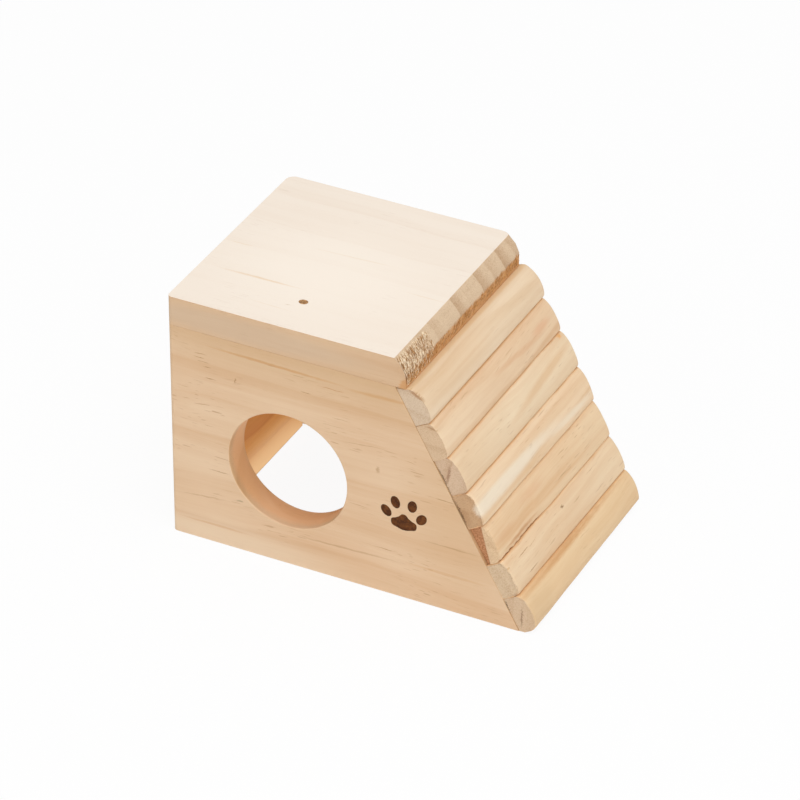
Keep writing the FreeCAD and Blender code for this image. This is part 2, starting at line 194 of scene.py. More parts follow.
class Blank:
    """One piece of stock on the bench, shaped step by step as by hand.

    Args:
        piece: the object to shape.
        name: its name.
    """

    def __init__(self, piece: Piece, name: str) -> None:
        """Take the object as the blank and name it and its mesh."""
        self.piece = piece
        self.piece.name = name
        self.piece.data.name = name

    @classmethod
    def added(cls, name: str, primitive: Callable[..., set[str]], **settings: Any) -> "Blank":
        """Add a primitive to a clear bench.

        Args:
            name: the piece's name.
            primitive: the operator that adds it.
            settings: the operator's settings.

        Returns:
            The blank, not settled yet.
        """
        cls.clear_bench()
        primitive(**settings)
        return cls(bpy.context.active_object, name)

    @classmethod
    def block(cls, name: str, low: Sequence[float], high: Sequence[float]) -> "Blank":
        """Start from a block between two corners.

        Args:
            name: the piece's name.
            low: its lowest corner, in millimetres.
            high: its highest corner.

        Returns:
            The blank.
        """
        middle, scale = (Vector(low) + Vector(high)) / 2 * MM, (Vector(high) - Vector(low)) * MM
        blank = cls.added(name, bpy.ops.mesh.primitive_cube_add, size=1.0, location=middle, scale=scale)
        return blank.settle()

    @classmethod
    def rod(
        cls, name: str, middle: Vector, radii: Sequence[float], length: float, sides: int, lean: float = 0.0
    ) -> "Blank":
        """Start from a rod that runs across the house, with two radii for an oval section.

        Args:
            name: the piece's name.
            middle: the rod's middle, in millimetres.
            radii: its radius along X and along Z.
            length: its length along Y.
            sides: facets round it.
            lean: turn of the oval about Y, in radians.

        Returns:
            The blank.
        """
        blank = cls.added(
            name, bpy.ops.mesh.primitive_cylinder_add, vertices=sides, radius=1.0, depth=1.0,
            location=ORIGIN, rotation=(math.radians(90), 0, 0),
        )
        return blank.settle().seat(middle, Euler((0, lean, 0)), Vector((radii[0], length, radii[1])) * MM)

    @classmethod
    def pebble(
        cls, name: str, middle: Vector, radii: Sequence[float], turn: Euler = UNTURNED, rings: int = 12
    ) -> "Blank":
        """Start from an oval pebble, for a pit, a knot or a splinter.

        Args:
            name: the piece's name.
            middle: its middle, in millimetres.
            radii: its three radii.
            turn: how it is turned.
            rings: rings of faces from pole to pole.

        Returns:
            The blank.
        """
        blank = cls.added(
            name, bpy.ops.mesh.primitive_uv_sphere_add, segments=2 * rings, ring_count=rings, radius=1.0,
            location=ORIGIN,
        )
        return blank.seat(middle, turn, Vector(radii) * MM)

    def copy(self, place: Vector, turn: Euler, factors: Sequence[float]) -> "Blank":
        """Copy this blank with a mesh of its own.

        Args:
            place: where the copy's origin goes, in millimetres.
            turn: how it is turned.
            factors: its three scale factors.

        Returns:
            The copy, not settled yet.
        """
        piece = self.piece.copy()
        piece.data = self.piece.data.copy()
        piece.matrix_world = Matrix.LocRotScale(place * MM, turn, Vector(factors))
        bpy.context.scene.collection.objects.link(piece)
        return Blank(piece, piece.name)

    @staticmethod
    def clear_bench() -> None:
        """Leave edit mode and select nothing."""
        if bpy.context.mode != "OBJECT":
            bpy.ops.object.mode_set(mode="OBJECT")
        bpy.ops.object.select_all(action="DESELECT")

    def grab(self) -> None:
        """Make this piece the only one selected, in object mode."""
        self.clear_bench()
        self.piece.select_set(True)
        bpy.context.view_layer.objects.active = self.piece

    def settle(self) -> "Blank":
        """Put the piece's place, turn and scale into its mesh.

        Returns:
            The blank itself.
        """
        self.grab()
        bpy.ops.object.transform_apply(location=True, rotation=True, scale=True)
        return self

    def seat(self, place: Vector, turn: Euler, factors: Sequence[float] = (1, 1, 1)) -> "Blank":
        """Scale the piece, turn it about the origin, move it to its place and settle it.

        Args:
            place: where the origin goes, in millimetres.
            turn: how the piece is turned.
            factors: its three scale factors.

        Returns:
            The blank itself.
        """
        self.grab()
        self.piece.scale = factors
        self.piece.rotation_euler = turn
        self.piece.location = place * MM
        return self.settle()

    def choose(self, element: Element, test: Optional[Test] = None) -> None:
        """Select elements in edit mode.

        Args:
            element: vertices, edges or faces.
            test: gets an element's corners in millimetres; all are selected without it.
        """
        mode, items = element.value
        if bpy.context.mode == "OBJECT":
            self.grab()
            bpy.ops.object.mode_set(mode="EDIT")
        bpy.ops.mesh.select_mode(type=mode)
        bpy.ops.mesh.select_all(action="DESELECT" if test else "SELECT")
        if test:
            mesh = bmesh.from_edit_mesh(self.piece.data)
            for item in getattr(mesh, items):
                vertices = [item] if element is Element.VERTEX else item.verts
                if test([vertex.co / MM for vertex in vertices]):
                    item.select_set(True)
            bmesh.update_edit_mesh(self.piece.data)

    def divide(self, test: Test, cuts: int) -> None:
        """Cut the edges that pass a test into equal lengths."""
        self.choose(Element.EDGE, test)
        bpy.ops.mesh.subdivide(number_cuts=cuts)

    def move(self, test: Test, shift: Sequence[float]) -> None:
        """Move the vertices that pass a test, in millimetres."""
        self.choose(Element.VERTEX, test)
        bpy.ops.transform.translate(value=Vector(shift) * MM)

    def pull(self, test: Test, shift: Sequence[float], reach: float) -> None:
        """Move the vertices that pass a test, and draw those within reach along more softly."""
        self.choose(Element.VERTEX, test)
        bpy.ops.transform.translate(
            value=Vector(shift) * MM, use_proportional_edit=True, proportional_edit_falloff="SMOOTH",
            proportional_size=reach * MM,
        )

    def stretch(self, test: Test, factors: Sequence[float], about: Sequence[float]) -> None:
        """Scale the vertices that pass a test about a place in millimetres."""
        self.choose(Element.VERTEX, test)
        bpy.ops.transform.resize(value=tuple(factors), center_override=tuple(Vector(about) * MM))

    def saw(self, place: Sequence[float], outward: Sequence[float]) -> None:
        """Saw off what lies beyond a plane and close the cut."""
        self.choose(Element.VERTEX)
        bpy.ops.mesh.bisect(
            plane_co=Vector(place) * MM, plane_no=Vector(outward).normalized(), use_fill=True,
            clear_outer=True, threshold=0.0001 * MM,
        )

    def ease(self, degrees: float, width: float, segments: int = 2, test: Optional[Test] = None) -> None:
        """Round the edges that turn by more than an angle and pass a test.

        Args:
            degrees: the least turn.
            width: width of the rounding in millimetres.
            segments: facets across it.
            test: gets an edge's corners in millimetres.
        """
        self.choose(Element.EDGE, lambda corners: False)
        bpy.ops.mesh.edges_select_sharp(sharpness=math.radians(degrees))
        if test:
            mesh = bmesh.from_edit_mesh(self.piece.data)
            for edge in mesh.edges:
                if edge.select and not test([vertex.co / MM for vertex in edge.verts]):
                    edge.select_set(False)
            bmesh.update_edit_mesh(self.piece.data)
        bpy.ops.mesh.bevel(
            offset=width * MM, offset_type="OFFSET", segments=segments, profile=0.5, affect="EDGES",
            clamp_overlap=True,
        )

    def carve(self, cutter: "Blank") -> None:
        """Cut another blank's shape out of this one, which uses it up and leaves its finish on the cut.

        Args:
            cutter: the blank to cut with.
        """
        self.grab()
        cut = self.piece.modifiers.new("carve", "BOOLEAN")
        cut.object = cutter.piece
        cut.operation = "DIFFERENCE"
        cut.solver = "MANIFOLD"
        cut.material_mode = "TRANSFER"
        bpy.ops.object.modifier_apply(modifier=cut.name)
        bpy.data.objects.remove(cutter.piece)

    def join(self, others: Sequence["Blank"]) -> "Blank":
        """Take other blanks into this one.

        Args:
            others: the blanks, which are used up.

        Returns:
            The blank itself.
        """
        self.grab()
        for other in others:
            other.piece.select_set(True)
        bpy.ops.object.join()
        return self

    def wear(
        self,
        name: str,
        share: Callable[[Vector], float],
        height: float,
        lump: float,
        direction: str = "NORMAL",
        detail: int = 2,
    ) -> None:
        """Wear hollows of one size into part of the surface.

        Args:
            name: what that part is called.
            share: how much a place in millimetres is worn, from 0 to 1.
            height: the deepest hollow, in millimetres below the sound surface.
            lump: size of the hollows in millimetres.
            direction: axis to move along, or NORMAL.
            detail: finer layers of hollows.
        """
        self.grab()
        group = self.piece.vertex_groups.new(name=name)
        for vertex in self.piece.data.vertices:
            weight = share(vertex.co / MM)
            if weight > 0.0:
                group.add([vertex.index], weight, "REPLACE")
        pattern = bpy.data.textures.new(f"{self.piece.name}_{name}_wear", "CLOUDS")
        pattern.noise_scale = lump * MM
        pattern.noise_depth = detail
        worn = self.piece.modifiers.new(name, "DISPLACE")
        worn.texture = pattern
        worn.texture_coords = "LOCAL"
        worn.vertex_group = name
        worn.direction = direction
        worn.mid_level = 1.0
        worn.strength = height * MM
        bpy.ops.object.modifier_apply(modifier=worn.name)
        bpy.data.textures.remove(pattern)

    def paint(self, *finishes: Material) -> "Blank":
        """Give the piece its finishes.

        Args:
            finishes: its materials, the first of them all over.

        Returns:
            The blank itself.
        """
        self.clear_bench()
        self.piece.data.materials.clear()
        for finish in finishes:
            self.piece.data.materials.append(finish)
        return self

    def give(self, number: int, test: Test) -> None:
        """Give some faces another of the piece's finishes.

        Args:
            number: the finish, counted from 0.
            test: gets a face's corners in millimetres.
        """
        self.choose(Element.FACE, test)
        self.piece.active_material_index = number
        bpy.ops.object.material_slot_assign()

    def finish(self, slot: Slot, *nodes: str, smooth: float = 35.0) -> None:
        """Smooth the shading, tie the piece to the house, hide the CAD nodes that it replaces and log its
        face and finish counts.

        Args:
            slot: not used.
            nodes: CAD nodes that it replaces.
            smooth: edges that turn by less than this many degrees are shaded smooth.
        """
        self.grab()
        bpy.ops.object.shade_smooth_by_angle(angle=math.radians(smooth))
        even = self.piece.modifiers.new("even", "WEIGHTED_NORMAL")
        even.keep_sharp = True
        bpy.ops.object.modifier_apply(modifier=even.name)
        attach(self.piece, "root")
        if nodes:
            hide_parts(*nodes)
        mesh = self.piece.data
        log.info("%s: %d faces, %d finishes", self.piece.name, len(mesh.polygons), len(mesh.materials))


def colour(code: str) -> tuple[float, float, float, float]:
    """Turn an sRGB hex colour such as #e4c6a2 into linear red, green, blue and alpha."""
    channels = [int(code[index:index + 2], 16) / 255 for index in (1, 3, 5)]
    return (*[c / 12.92 if c <= 0.04045 else ((c + 0.055) / 1.055) ** 2.4 for c in channels], 1.0)


def add_node(
    tree: bpy.types.NodeTree,
    kind: str,
    inputs: Optional[dict[Union[int, str], Any]] = None,
    output: Union[int, str] = 0,
    **settings: Any,
) -> Optional[Socket]:
    """Add one node with its settings, values and links.

    Args:
        tree: the node tree.
        kind: the node's type name, without its first word ShaderNode.
        inputs: values or output sockets, by input name or number.
        output: the output to give back, by name or number.
        settings: the node's own properties.

    Returns:
        That output, or nothing from a node without outputs.
    """
    node = tree.nodes.new(f"ShaderNode{kind}")
    for name, value in settings.items():
        setattr(node, name, value)
    for name, value in (inputs or {}).items():
        if isinstance(value, Socket):
            tree.links.new(value, node.inputs[name])
        else:
            node.inputs[name].default_value = value
    return node.outputs[output] if len(node.outputs) else None


def new_material(name: str) -> tuple[Material, AddNode]:
    """Start a material with an empty tree.

    Args:
        name: the material's name.

    Returns:
        The material, and add_node for its tree.
    """
    material = bpy.data.materials.new(name)
    material.use_nodes = True
    material.node_tree.nodes.clear()
    return material, partial(add_node, material.node_tree)


def cover(
    add: AddNode, tone: Socket, height: Socket, relief: Sequence[float], shine: dict[str, float]
) -> None:
    """Give a material its colour, relief and shine.

    Args:
        add: adds a node to the material.
        tone: the colour.
        height: the relief's height.
        relief: the relief's strength, and its depth in millimetres.
        shine: values for the surface's inputs, by name.
    """
    bump = add("Bump", {"Height": height, "Strength": relief[0], "Distance": relief[1] * MM})
    surface = add("BsdfPrincipled", {"Base Color": tone, "Normal": bump, **shine})
    add("OutputMaterial", {"Surface": surface})


# Sockets of a colour Mix node, whose names repeat
MIX_A, MIX_B, MIX_RESULT = 6, 7, 2


@dataclass(frozen=True)
class Fleck:
    """One long mark in the grain, such as a resin streak, a bruise or a pale stripe.

    Places are millimetres in the board's own frame: along the grain, and across it on the face.
    """

    along: float
    across: float
    length: float
    width: float
    tone: str
    strength: float
    turn: float = 0.0
    reach: float = 2.5
    out: float = 0.0
    core: float = 0.25
    tilt: float = 0.0


@dataclass(frozen=True)
class PineFinish:
    """Bare pine, planed and lightly sanded: soft growth rings, long fibres and short resin dashes.

    The rings are drawn in the solid round a pith line, so they run as stripes along a face and as
    arcs on the end grain, as they do on a real board.
    """

    name: str
    grain: Grain
    pale: str
    tan: str
    end: str
    pith: tuple[float, float]
    end_ring: str = "#c59a6c"
    end_depth: float = 0.75
    end_grit: float = 0.8
    ring: float = 9.0
    ring_depth: float = 0.5
    late: float = 0.6
    weakest: float = 0.45
    streak_depth: float = 0.35
    fibre_depth: float = 0.16
    blotch_depth: float = 0.3
    dash_depth: float = 0.35
    dash: str = "#a87448"
    dash_sunk: float = 0.8
    ring_raised: float = 0.35
    ground: float = 0.22
    end_ground: float = 0.08
    end_cover: float = 0.9
    seed: float = 0.0
    flat: bool = True
    # Painted light: a paler coat on the faces that look up
    upper: Optional[str] = None
    painted_top_light_depth: float = 0.22
    # Painted groove shade, with the sawn sides' own tone: a deeper coat on faces that look sideways
    flank_shade: Optional[str] = None
    flank_cover: float = 0.8
    flecks: tuple[Fleck, ...] = ()
    relief: tuple[float, float] = (0.6, 0.05)
    roughness: float = 0.62
    ior: float = 1.45
    sheen: float = 0.35

    def turn(self, house: House) -> Euler:
        """Give the turn that brings the fibres onto the pattern's own X axis.

        Args:
            house: the house, for the ladder's slope.

        Returns:
            The turn.
        """
        turns = {
            Grain.ALONG_HOUSE: (0, 0, 0),
            Grain.ACROSS_HOUSE: (0, 0, math.radians(90)),
            Grain.ACROSS_LADDER: (0, -house.slope, math.radians(90)),
            Grain.UPRIGHT: (0, math.radians(90), 0),
        }
        return Euler(turns[self.grain])

    def origin(self, house: House) -> Vector:
        """Give the place of the house where the pattern starts, in millimetres."""
        start = house.foot if self.grain is Grain.ACROSS_LADDER else house.left
        return Vector((start, house.front, 0))

    def make(self, house: House) -> Material:
        """Build the material.

        Args:
            house: the house that the board belongs to.

        Returns:
            The material.
        """
        material, add = new_material(self.name)
        turn = self.turn(house)
        here = add("TexCoord", output="Object")
        grain = add("Mapping", {
            "Vector": here, "Location": -(turn.to_matrix() @ self.origin(house)), "Rotation": turn,
            "Scale": (1 / MM,) * 3,
        })
        away = add("VectorMath", {0: grain, 1: (self.seed * 131, 0, 0)}, operation="ADD")

        # Slow bends of the whole board's grain, 60 mm long and 25 mm wide
        bend = self.noise(add, away, (60, 25, 25), 1.5, 0.5, "Color")
        bend = add("VectorMath", {0: bend, 1: (0.5,) * 3}, operation="SUBTRACT")
        bend = add("VectorMath", {0: bend, 1: (0, 7, 7)}, operation="MULTIPLY")
        wood = add("VectorMath", {0: grain, 1: bend}, operation="ADD")
        away_wood = add("VectorMath", {0: away, 1: bend}, operation="ADD")
        rings = self.rings(add, wood)

        # Streaks 3 mm wide, fibres 0.45 mm wide, blotches, and resin dashes 4 mm long in clusters
        streaks = self.noise(add, away_wood, (80, 3, 3), 2.0, 0.55)
        fibres = self.noise(add, away_wood, (16, 0.45, 0.45), 3.0, 0.7)
        blotches = self.noise(add, away, (55, 22, 22), 1.0, 0.5)
        dashes = self.noise(add, away_wood, (4.5, 0.42, 0.42), 0.0, 0.5)
        dashes = add(
            "MapRange", {"Value": dashes, "From Min": 0.68, "From Max": 0.80}, interpolation_type="SMOOTHSTEP"
        )
        clusters = self.noise(add, away, (26, 9, 9), 1.0, 0.5)
        clusters = add("MapRange", {"Value": clusters, "From Min": 0.45, "From Max": 0.68})
        dashes = add("Math", {0: dashes, 1: clusters}, operation="MULTIPLY")

        # Depth of tone: rings, streaks, fibres and blotches about a middle tone
        depth = add("Math", {0: rings, 1: self.ring_depth, 2: self.ground}, operation="MULTIPLY_ADD")
        layers = ((streaks, self.streak_depth), (fibres, self.fibre_depth), (blotches, self.blotch_depth))
        for layer, weight in layers:
            centred = add("Math", {0: layer, 1: 0.5}, operation="SUBTRACT")
            depth = add("Math", {0: centred, 1: 2 * weight, 2: depth}, operation="MULTIPLY_ADD")
        coats = [(depth, colour(self.tan))]

        normal = here.node.outputs["Normal"]
        facing = add("VectorRotate", {"Vector": normal, "Rotation": turn}, rotation_type="EULER_XYZ")
        facing = add("SeparateXYZ", {0: facing}).node.outputs
        # Painted light: faces that look up take the paler upper coat, less of it where the grain is dark
        if self.upper:
            up = add("MapRange", {"Value": facing["Z"], "From Min": 0.75, "From Max": 0.98})
            light = add("Math", {0: depth, 1: self.ground}, operation="SUBTRACT")
            light = add("Math", {0: light, 1: -self.painted_top_light_depth, 2: 1.0}, operation="MULTIPLY_ADD")
            light = add("Math", {0: light, 1: up}, operation="MULTIPLY")
            coats.append((light, colour(self.upper)))
        if self.flank_shade:
            # The sides of a slat get a deeper orange: partly their sawn, unsanded tone, and partly painted
            # shade in the grooves
            side = add("Math", {0: facing["Y"]}, operation="ABSOLUTE")
            reach = {"Value": side, "From Min": 0.6, "From Max": 0.97, "To Max": self.flank_cover}
            side = add("MapRange", reach, interpolation_type="SMOOTHSTEP")
            coats.append((side, colour(self.flank_shade)))

        # End grain drinks more light than the faces do
        ends = add("Math", {0: facing["X"]}, operation="ABSOLUTE")
        reach = {"Value": ends, "From Min": 0.45, "From Max": 0.75, "To Max": self.end_cover}
        ends = add("MapRange", reach)
        pores = self.noise(add, away_wood, (3, 0.35, 0.35), 2.0, 0.6)
        pores = add("Math", {0: pores, 1: 0.5}, operation="SUBTRACT")
        ringed = add("Math", {0: rings, 1: self.end_depth, 2: self.end_ground}, operation="MULTIPLY_ADD")
        ringed = add("Math", {0: pores, 1: self.end_grit, 2: ringed}, operation="MULTIPLY_ADD")
        tones = {0: ringed, MIX_A: colour(self.end), MIX_B: colour(self.end_ring)}
        coats.append((ends, add("Mix", tones, MIX_RESULT, data_type="RGBA")))

        dark = add("Math", {0: dashes, 1: self.dash_depth}, operation="MULTIPLY")
        coats.append((dark, colour(self.dash)))
        tone = colour(self.pale)
        for share, coat in coats:
            tone = add("Mix", {0: share, MIX_A: tone, MIX_B: coat}, MIX_RESULT, data_type="RGBA")
        tone = self.add_flecks(add, grain, tone)

        height = add("Math", {0: dashes, 1: -self.dash_sunk, 2: fibres}, operation="MULTIPLY_ADD")
        height = add("Math", {0: rings, 1: self.ring_raised, 2: height}, operation="MULTIPLY_ADD")
        shine = {"Roughness": self.roughness, "IOR": self.ior, "Specular IOR Level": self.sheen}
        cover(add, tone, height, self.relief, shine)
        return material

    def rings(self, add: AddNode, wood: Socket) -> Socket:
        """Add the growth rings round the pith, each of its own strength.

        Args:
            add: adds a node to the material.
            wood: where in the bent board, in millimetres.

        Returns:
            How dark the rings are, from 0 to 1.
        """
        section = add("VectorMath", {0: wood, 1: (0, *self.pith)}, operation="SUBTRACT")
        section = add("VectorMath", {0: section, 1: (0, 1, 1)}, operation="MULTIPLY")
        reach = add("VectorMath", {0: section}, "Value", operation="LENGTH")
        years = add("Math", {0: reach, 1: self.ring}, operation="DIVIDE")
        season = add("Math", {0: years}, operation="FRACT")
        ramp = add("ValToRGB", {"Fac": season})
        stops = ramp.node.color_ramp.elements
        for stop, place in zip(stops, (0.0, 1.0)):
            stop.position, stop.color = place, (0.35, 0.35, 0.35, 1)
        for place, level in ((0.08, 0.02), (self.late, 0.12), (0.45 + 0.45 * self.late, 0.6), (0.95, 1.0)):
            stops.new(place).color = (level, level, level, 1)
        year = add("Math", {0: years}, operation="FLOOR")
        own = add("TexWhiteNoise", {"W": year}, noise_dimensions="1D")
        own = add("MapRange", {"Value": own, "To Min": self.weakest, "To Max": 1.0})
        return add("Math", {0: ramp, 1: own}, operation="MULTIPLY")

    @staticmethod
    def noise(
        add: AddNode,
        place: Socket,
        size: Sequence[float],
        detail: float,
        roughness: float,
        output: str = "Fac",
    ) -> Socket:
        """Add noise whose lumps have a real size.

        Args:
            add: adds a node to the material.
            place: where on the board, in millimetres.
            size: a lump's length, width and thickness in millimetres.
            detail: finer layers.
            roughness: how strong those layers are.
            output: which output to give back.

        Returns:
            The noise.
        """
        scaled = add("VectorMath", {0: place, 1: size}, operation="DIVIDE")
        values = {"Vector": scaled, "Scale": 1.0, "Detail": detail, "Roughness": roughness}
        return add("TexNoise", values, output)

    def add_flecks(self, add: AddNode, grain: Socket, tone: Socket) -> Socket:
        """Draw the board's own flecks over a tone.

        Args:
            add: adds a node to the material.
            grain: the place on the board, in millimetres.
            tone: the colour so far.

        Returns:
            The colour with the flecks.
        """
        if not self.flecks:
            return tone
        # Ragged edges, up to 1.2 mm off along the grain and 0.35 mm off across it
        ragged = self.noise(add, grain, (3, 0.5, 0.5), 2.0, 0.6, "Color")
        ragged = add("VectorMath", {0: ragged, 1: (0.5,) * 3}, operation="SUBTRACT")
        spread = (2.5, 0.7, 1.8) if self.flat else (2.5, 1.8, 0.7)
        ragged = add("VectorMath", {0: ragged, 1: spread}, operation="MULTIPLY")
        place = add("VectorMath", {0: grain, 1: ragged}, operation="ADD")
        for fleck in self.flecks:
            turn, tilt, half = math.radians(fleck.turn), math.radians(fleck.tilt), fleck.width / 2
            if self.flat:
                across, spin, widths = (fleck.across, fleck.out), (tilt, 0, turn), (half, fleck.reach)
            else:
                across, spin, widths = (fleck.out, fleck.across), (tilt, -turn, 0), (fleck.reach, half)
            local = add("Mapping", {
                "Vector": place, "Location": (fleck.along, *across), "Rotation": spin,
                "Scale": (fleck.length / 2, *widths),
            }, vector_type="TEXTURE")
            far = add("VectorMath", {0: local}, "Value", operation="LENGTH")
            near = add("MapRange", {
                "Value": far, "From Min": 1.0, "From Max": fleck.core, "To Max": fleck.strength,
            }, interpolation_type="SMOOTHSTEP")
            values = {0: near, MIX_A: tone, MIX_B: colour(fleck.tone)}
            tone = add("Mix", values, MIX_RESULT, data_type="RGBA")
        return tone


@dataclass(frozen=True)
class MottledWood:
    """Wood burnt, torn or crushed instead of cut: dry, matt and mottled between two tones.

    The mottle is a fine noise, whose lumps have a real size in millimetres, or that noise times a
    broader one, as a hot stamp leaves.
    """

    name: str
    light: str
    dark: str
    lump: float = 0.35
    detail: float = 2.0
    span: tuple[float, float] = (0.35, 0.65)
    broad: Optional[float] = None
    relief: tuple[float, float] = (0.7, 0.1)
    roughness: float = 0.8

    def make(self) -> Material:
        """Build the material.

        Returns:
            The material.
        """
        material, add = new_material(self.name)
        here = add("TexCoord", output="Object")
        fine =add("TexNoise", {"Vector": here, "Scale": 1 / (self.lump * MM), "Detail": self.detail}, "Fac")
        mottle = fine
        if self.broad:
            lumps = add("TexNoise", {"Vector": here, "Scale": 1 / (self.broad * MM), "Detail": 1.0}, "Fac")
            mottle = add("Math", {0: fine, 1: lumps}, operation="MULTIPLY")
        spread = add("MapRange", {"Value": mottle, "From Min": self.span[0], "From Max": self.span[1]})
        values = {0: spread, MIX_A: colour(self.dark), MIX_B: colour(self.light)}
        tone = add("Mix", values, MIX_RESULT, data_type="RGBA")
        cover(add, tone, fine, self.relief, {"Roughness": self.roughness, "Specular IOR Level": 0.2})
        return material


@dataclass
class PawPrint:
    """A plain paw print, sunk a little into the entry side by a hot stamp.

    Its parts are shares of the heel pad's half width. Each toe has its turn from upright, in
    degrees, and its distance from the pad's middle.
    """

    along: float = 79.4
    up: float = 27.0
    pad: float = 4.3
    sunk: float = 0.2
    heel_height: float = 0.78
    toe_size: tuple[float, float] = (0.36, 0.5)
    toes: tuple[tuple[float, float], ...] = ((-62.0, 1.55), (-22.0, 1.75), (22.0, 1.75), (62.0, 1.55))

    def heel(self, middle: Vector) -> Blank:
        """Shape the heel pad: an oval with a narrow top and a notch in its lower side.

        Args:
            middle: the pad's middle, in millimetres.

        Returns:
            The stamp for the pad.
        """
        wide, high = self.pad, self.pad * self.heel_height
        heel = Blank.rod("heel_stamp", middle, (wide, high), 2 * self.sunk, 64)
        heel.pull(lies_before(Z, middle.z - high + 0.15 * high), (0, 0, 0.3 * high), 0.75 * wide)
        for side in (-1, 1):
            shoulder = middle.x + side * 0.6 * wide
            heel.pull(
                lambda c: abs(c[0].x - shoulder) < 0.12 * wide and c[0].z > middle.z + 0.3 * high,
                (-side * 0.14 * wide, 0, -0.2 * high), 0.5 * wide,
            )
        return heel

    def stamp(self, house: House, char: Material) -> Blank:
        """Make the stamp that burns the print, standing in the board's face.

        Args:
            house: the house.
            char: the burnt finish.

        Returns:
            The stamp.
        """
        centre = Vector((house.left + self.along, house.front, self.up))
        heel = self.heel(centre).paint(char)
        radii = [self.pad * size for size in self.toe_size]
        toes = []
        for turn, reach in self.toes:
            lean = math.radians(turn)
            middle = centre + Vector((math.sin(lean), 0, math.cos(lean))) * self.pad * reach
            toe = Blank.rod(f"toe_stamp_{turn:.0f}", middle, radii, 2 * self.sunk, 40, lean * 0.6)
            toes.append(toe.paint(char))
        return heel.join(toes)


@dataclass
class SidePanels:
    """The two upright side panels, cut to the slope, one of them with the entry hole."""

    house: House
    entry_radius: float = 20.0
    entry_along: float = 40.2
    entry_up: float = 33.7
    rim: float = 0.5
    arris: float = 0.35
    joint: float = 0.12
    foot_round: float = 1.6
    front_corner: float = 1.6
    back_corner: float = 2.8
    paw_print: PawPrint = field(default_factory=PawPrint)

    def board(self, name: str, near: float, far: float, outer: float, corner: float) -> Blank:
        """Saw one panel to the slope and ease its edges.

        Args:
            name: the piece's name.
            near: its lower place along Y.
            far: its upper place along Y.
            outer: which of the two is outside.
            corner: rounding of its upright outer corner.

        Returns:
            The panel.
        """
        house = self.house
        panel = Blank.block(name, (house.left, near, 0), (house.foot, far, house.rise))
        panel.saw((house.foot, near, 0), (math.sin(house.slope), 0, math.cos(house.slope)))
        panel.ease(60, corner, 8, all_of(lies_at(X, house.left), lies_at(Y, outer)))
        panel.ease(60, 2 * self.arris, 4, all_of(lies_at(Z, 0), lies_at(Y, outer)))
        if outer == house.back:
            panel.ease(60, self.foot_round, 6, all_of(lies_at(Z, 0), lies_at(Y, near)))
        panel.ease(60, self.joint, 1, any_of(lies_at(Z, house.rise), house.lies_on_cut))
        panel.ease(60, self.arris, 3)
        return panel

    def on_rim(self, corners: Corners) -> bool:
        """Tell whether an element lies on the entry hole's wall.

        Args:
            corners: its corners, in millimetres.

        Returns:
            Whether it does.
        """
        middle = self.house.left + self.entry_along
        outs = [math.hypot(c.x - middle, c.z - self.entry_up) - self.entry_radius for c in corners]
        return all(abs(out) < 0.1 for out in outs)

    def front(self, finish: Material, char: Material) -> None:
        """Build the entry side with its hole and its paw print.

        Args:
            finish: the panel's pine.
            char: the burnt finish of the print.
        """
        house = self.house
        inner = house.front + house.panel
        panel = self.board("entry_panel", house.front, inner, house.front, self.front_corner).paint(finish)
        middle = Vector((house.left + self.entry_along, house.front + house.panel / 2, self.entry_up))
        bit = Blank.rod("entry_bit", middle, (self.entry_radius,) * 2, 2 * house.panel, 128)
        panel.carve(bit.paint(finish))
        panel.ease(60, self.rim, 5, all_of(self.on_rim, lies_at(Y, house.front)))
        panel.ease(60, self.arris, 3, all_of(self.on_rim, lies_at(Y, inner)))
        panel.carve(self.paw_print.stamp(house, char))
        panel.finish(Slot.BOARD, "front_panel")

    def rear(self, finish: Material) -> None:
        """Build the plain panel on the back.

        Args:
            finish: the panel's pine.
        """
        house = self.house
        panel = self.board("rear_panel", house.back - house.panel, house.back, house.back, self.back_corner)
        panel.paint(finish).finish(Slot.BOARD, "back_panel")


@dataclass
class ClosedEnd:
    """The wall that closes the left end between the panels; its inner side is painted a deeper amber as warm
    bounce light.
    """

    house: House
    arris: float = 0.3

    def build(self, finish: Material, inner_painted_light: Material) -> None:
        """Build the wall.

        Args:
            finish: the pine of its outer side.
            inner_painted_light: the pine of its inner side, with painted warm bounce light and painted light
                from the floor.
        """
        house = self.house
        inner = house.left + house.wall
        low = (house.left, house.front + house.panel, 0)
        wall = Blank.block("closed_end_wall", low, (inner, house.back - house.panel, house.rise))
        wall.ease(60, self.arris, 3)
        wall.paint(finish, inner_painted_light)
        # The inner side takes the pine with the painted warm light
        wall.give(1, lies_past(X, inner - 2 * self.arris))
        wall.finish(Slot.BOARD, "end_wall")


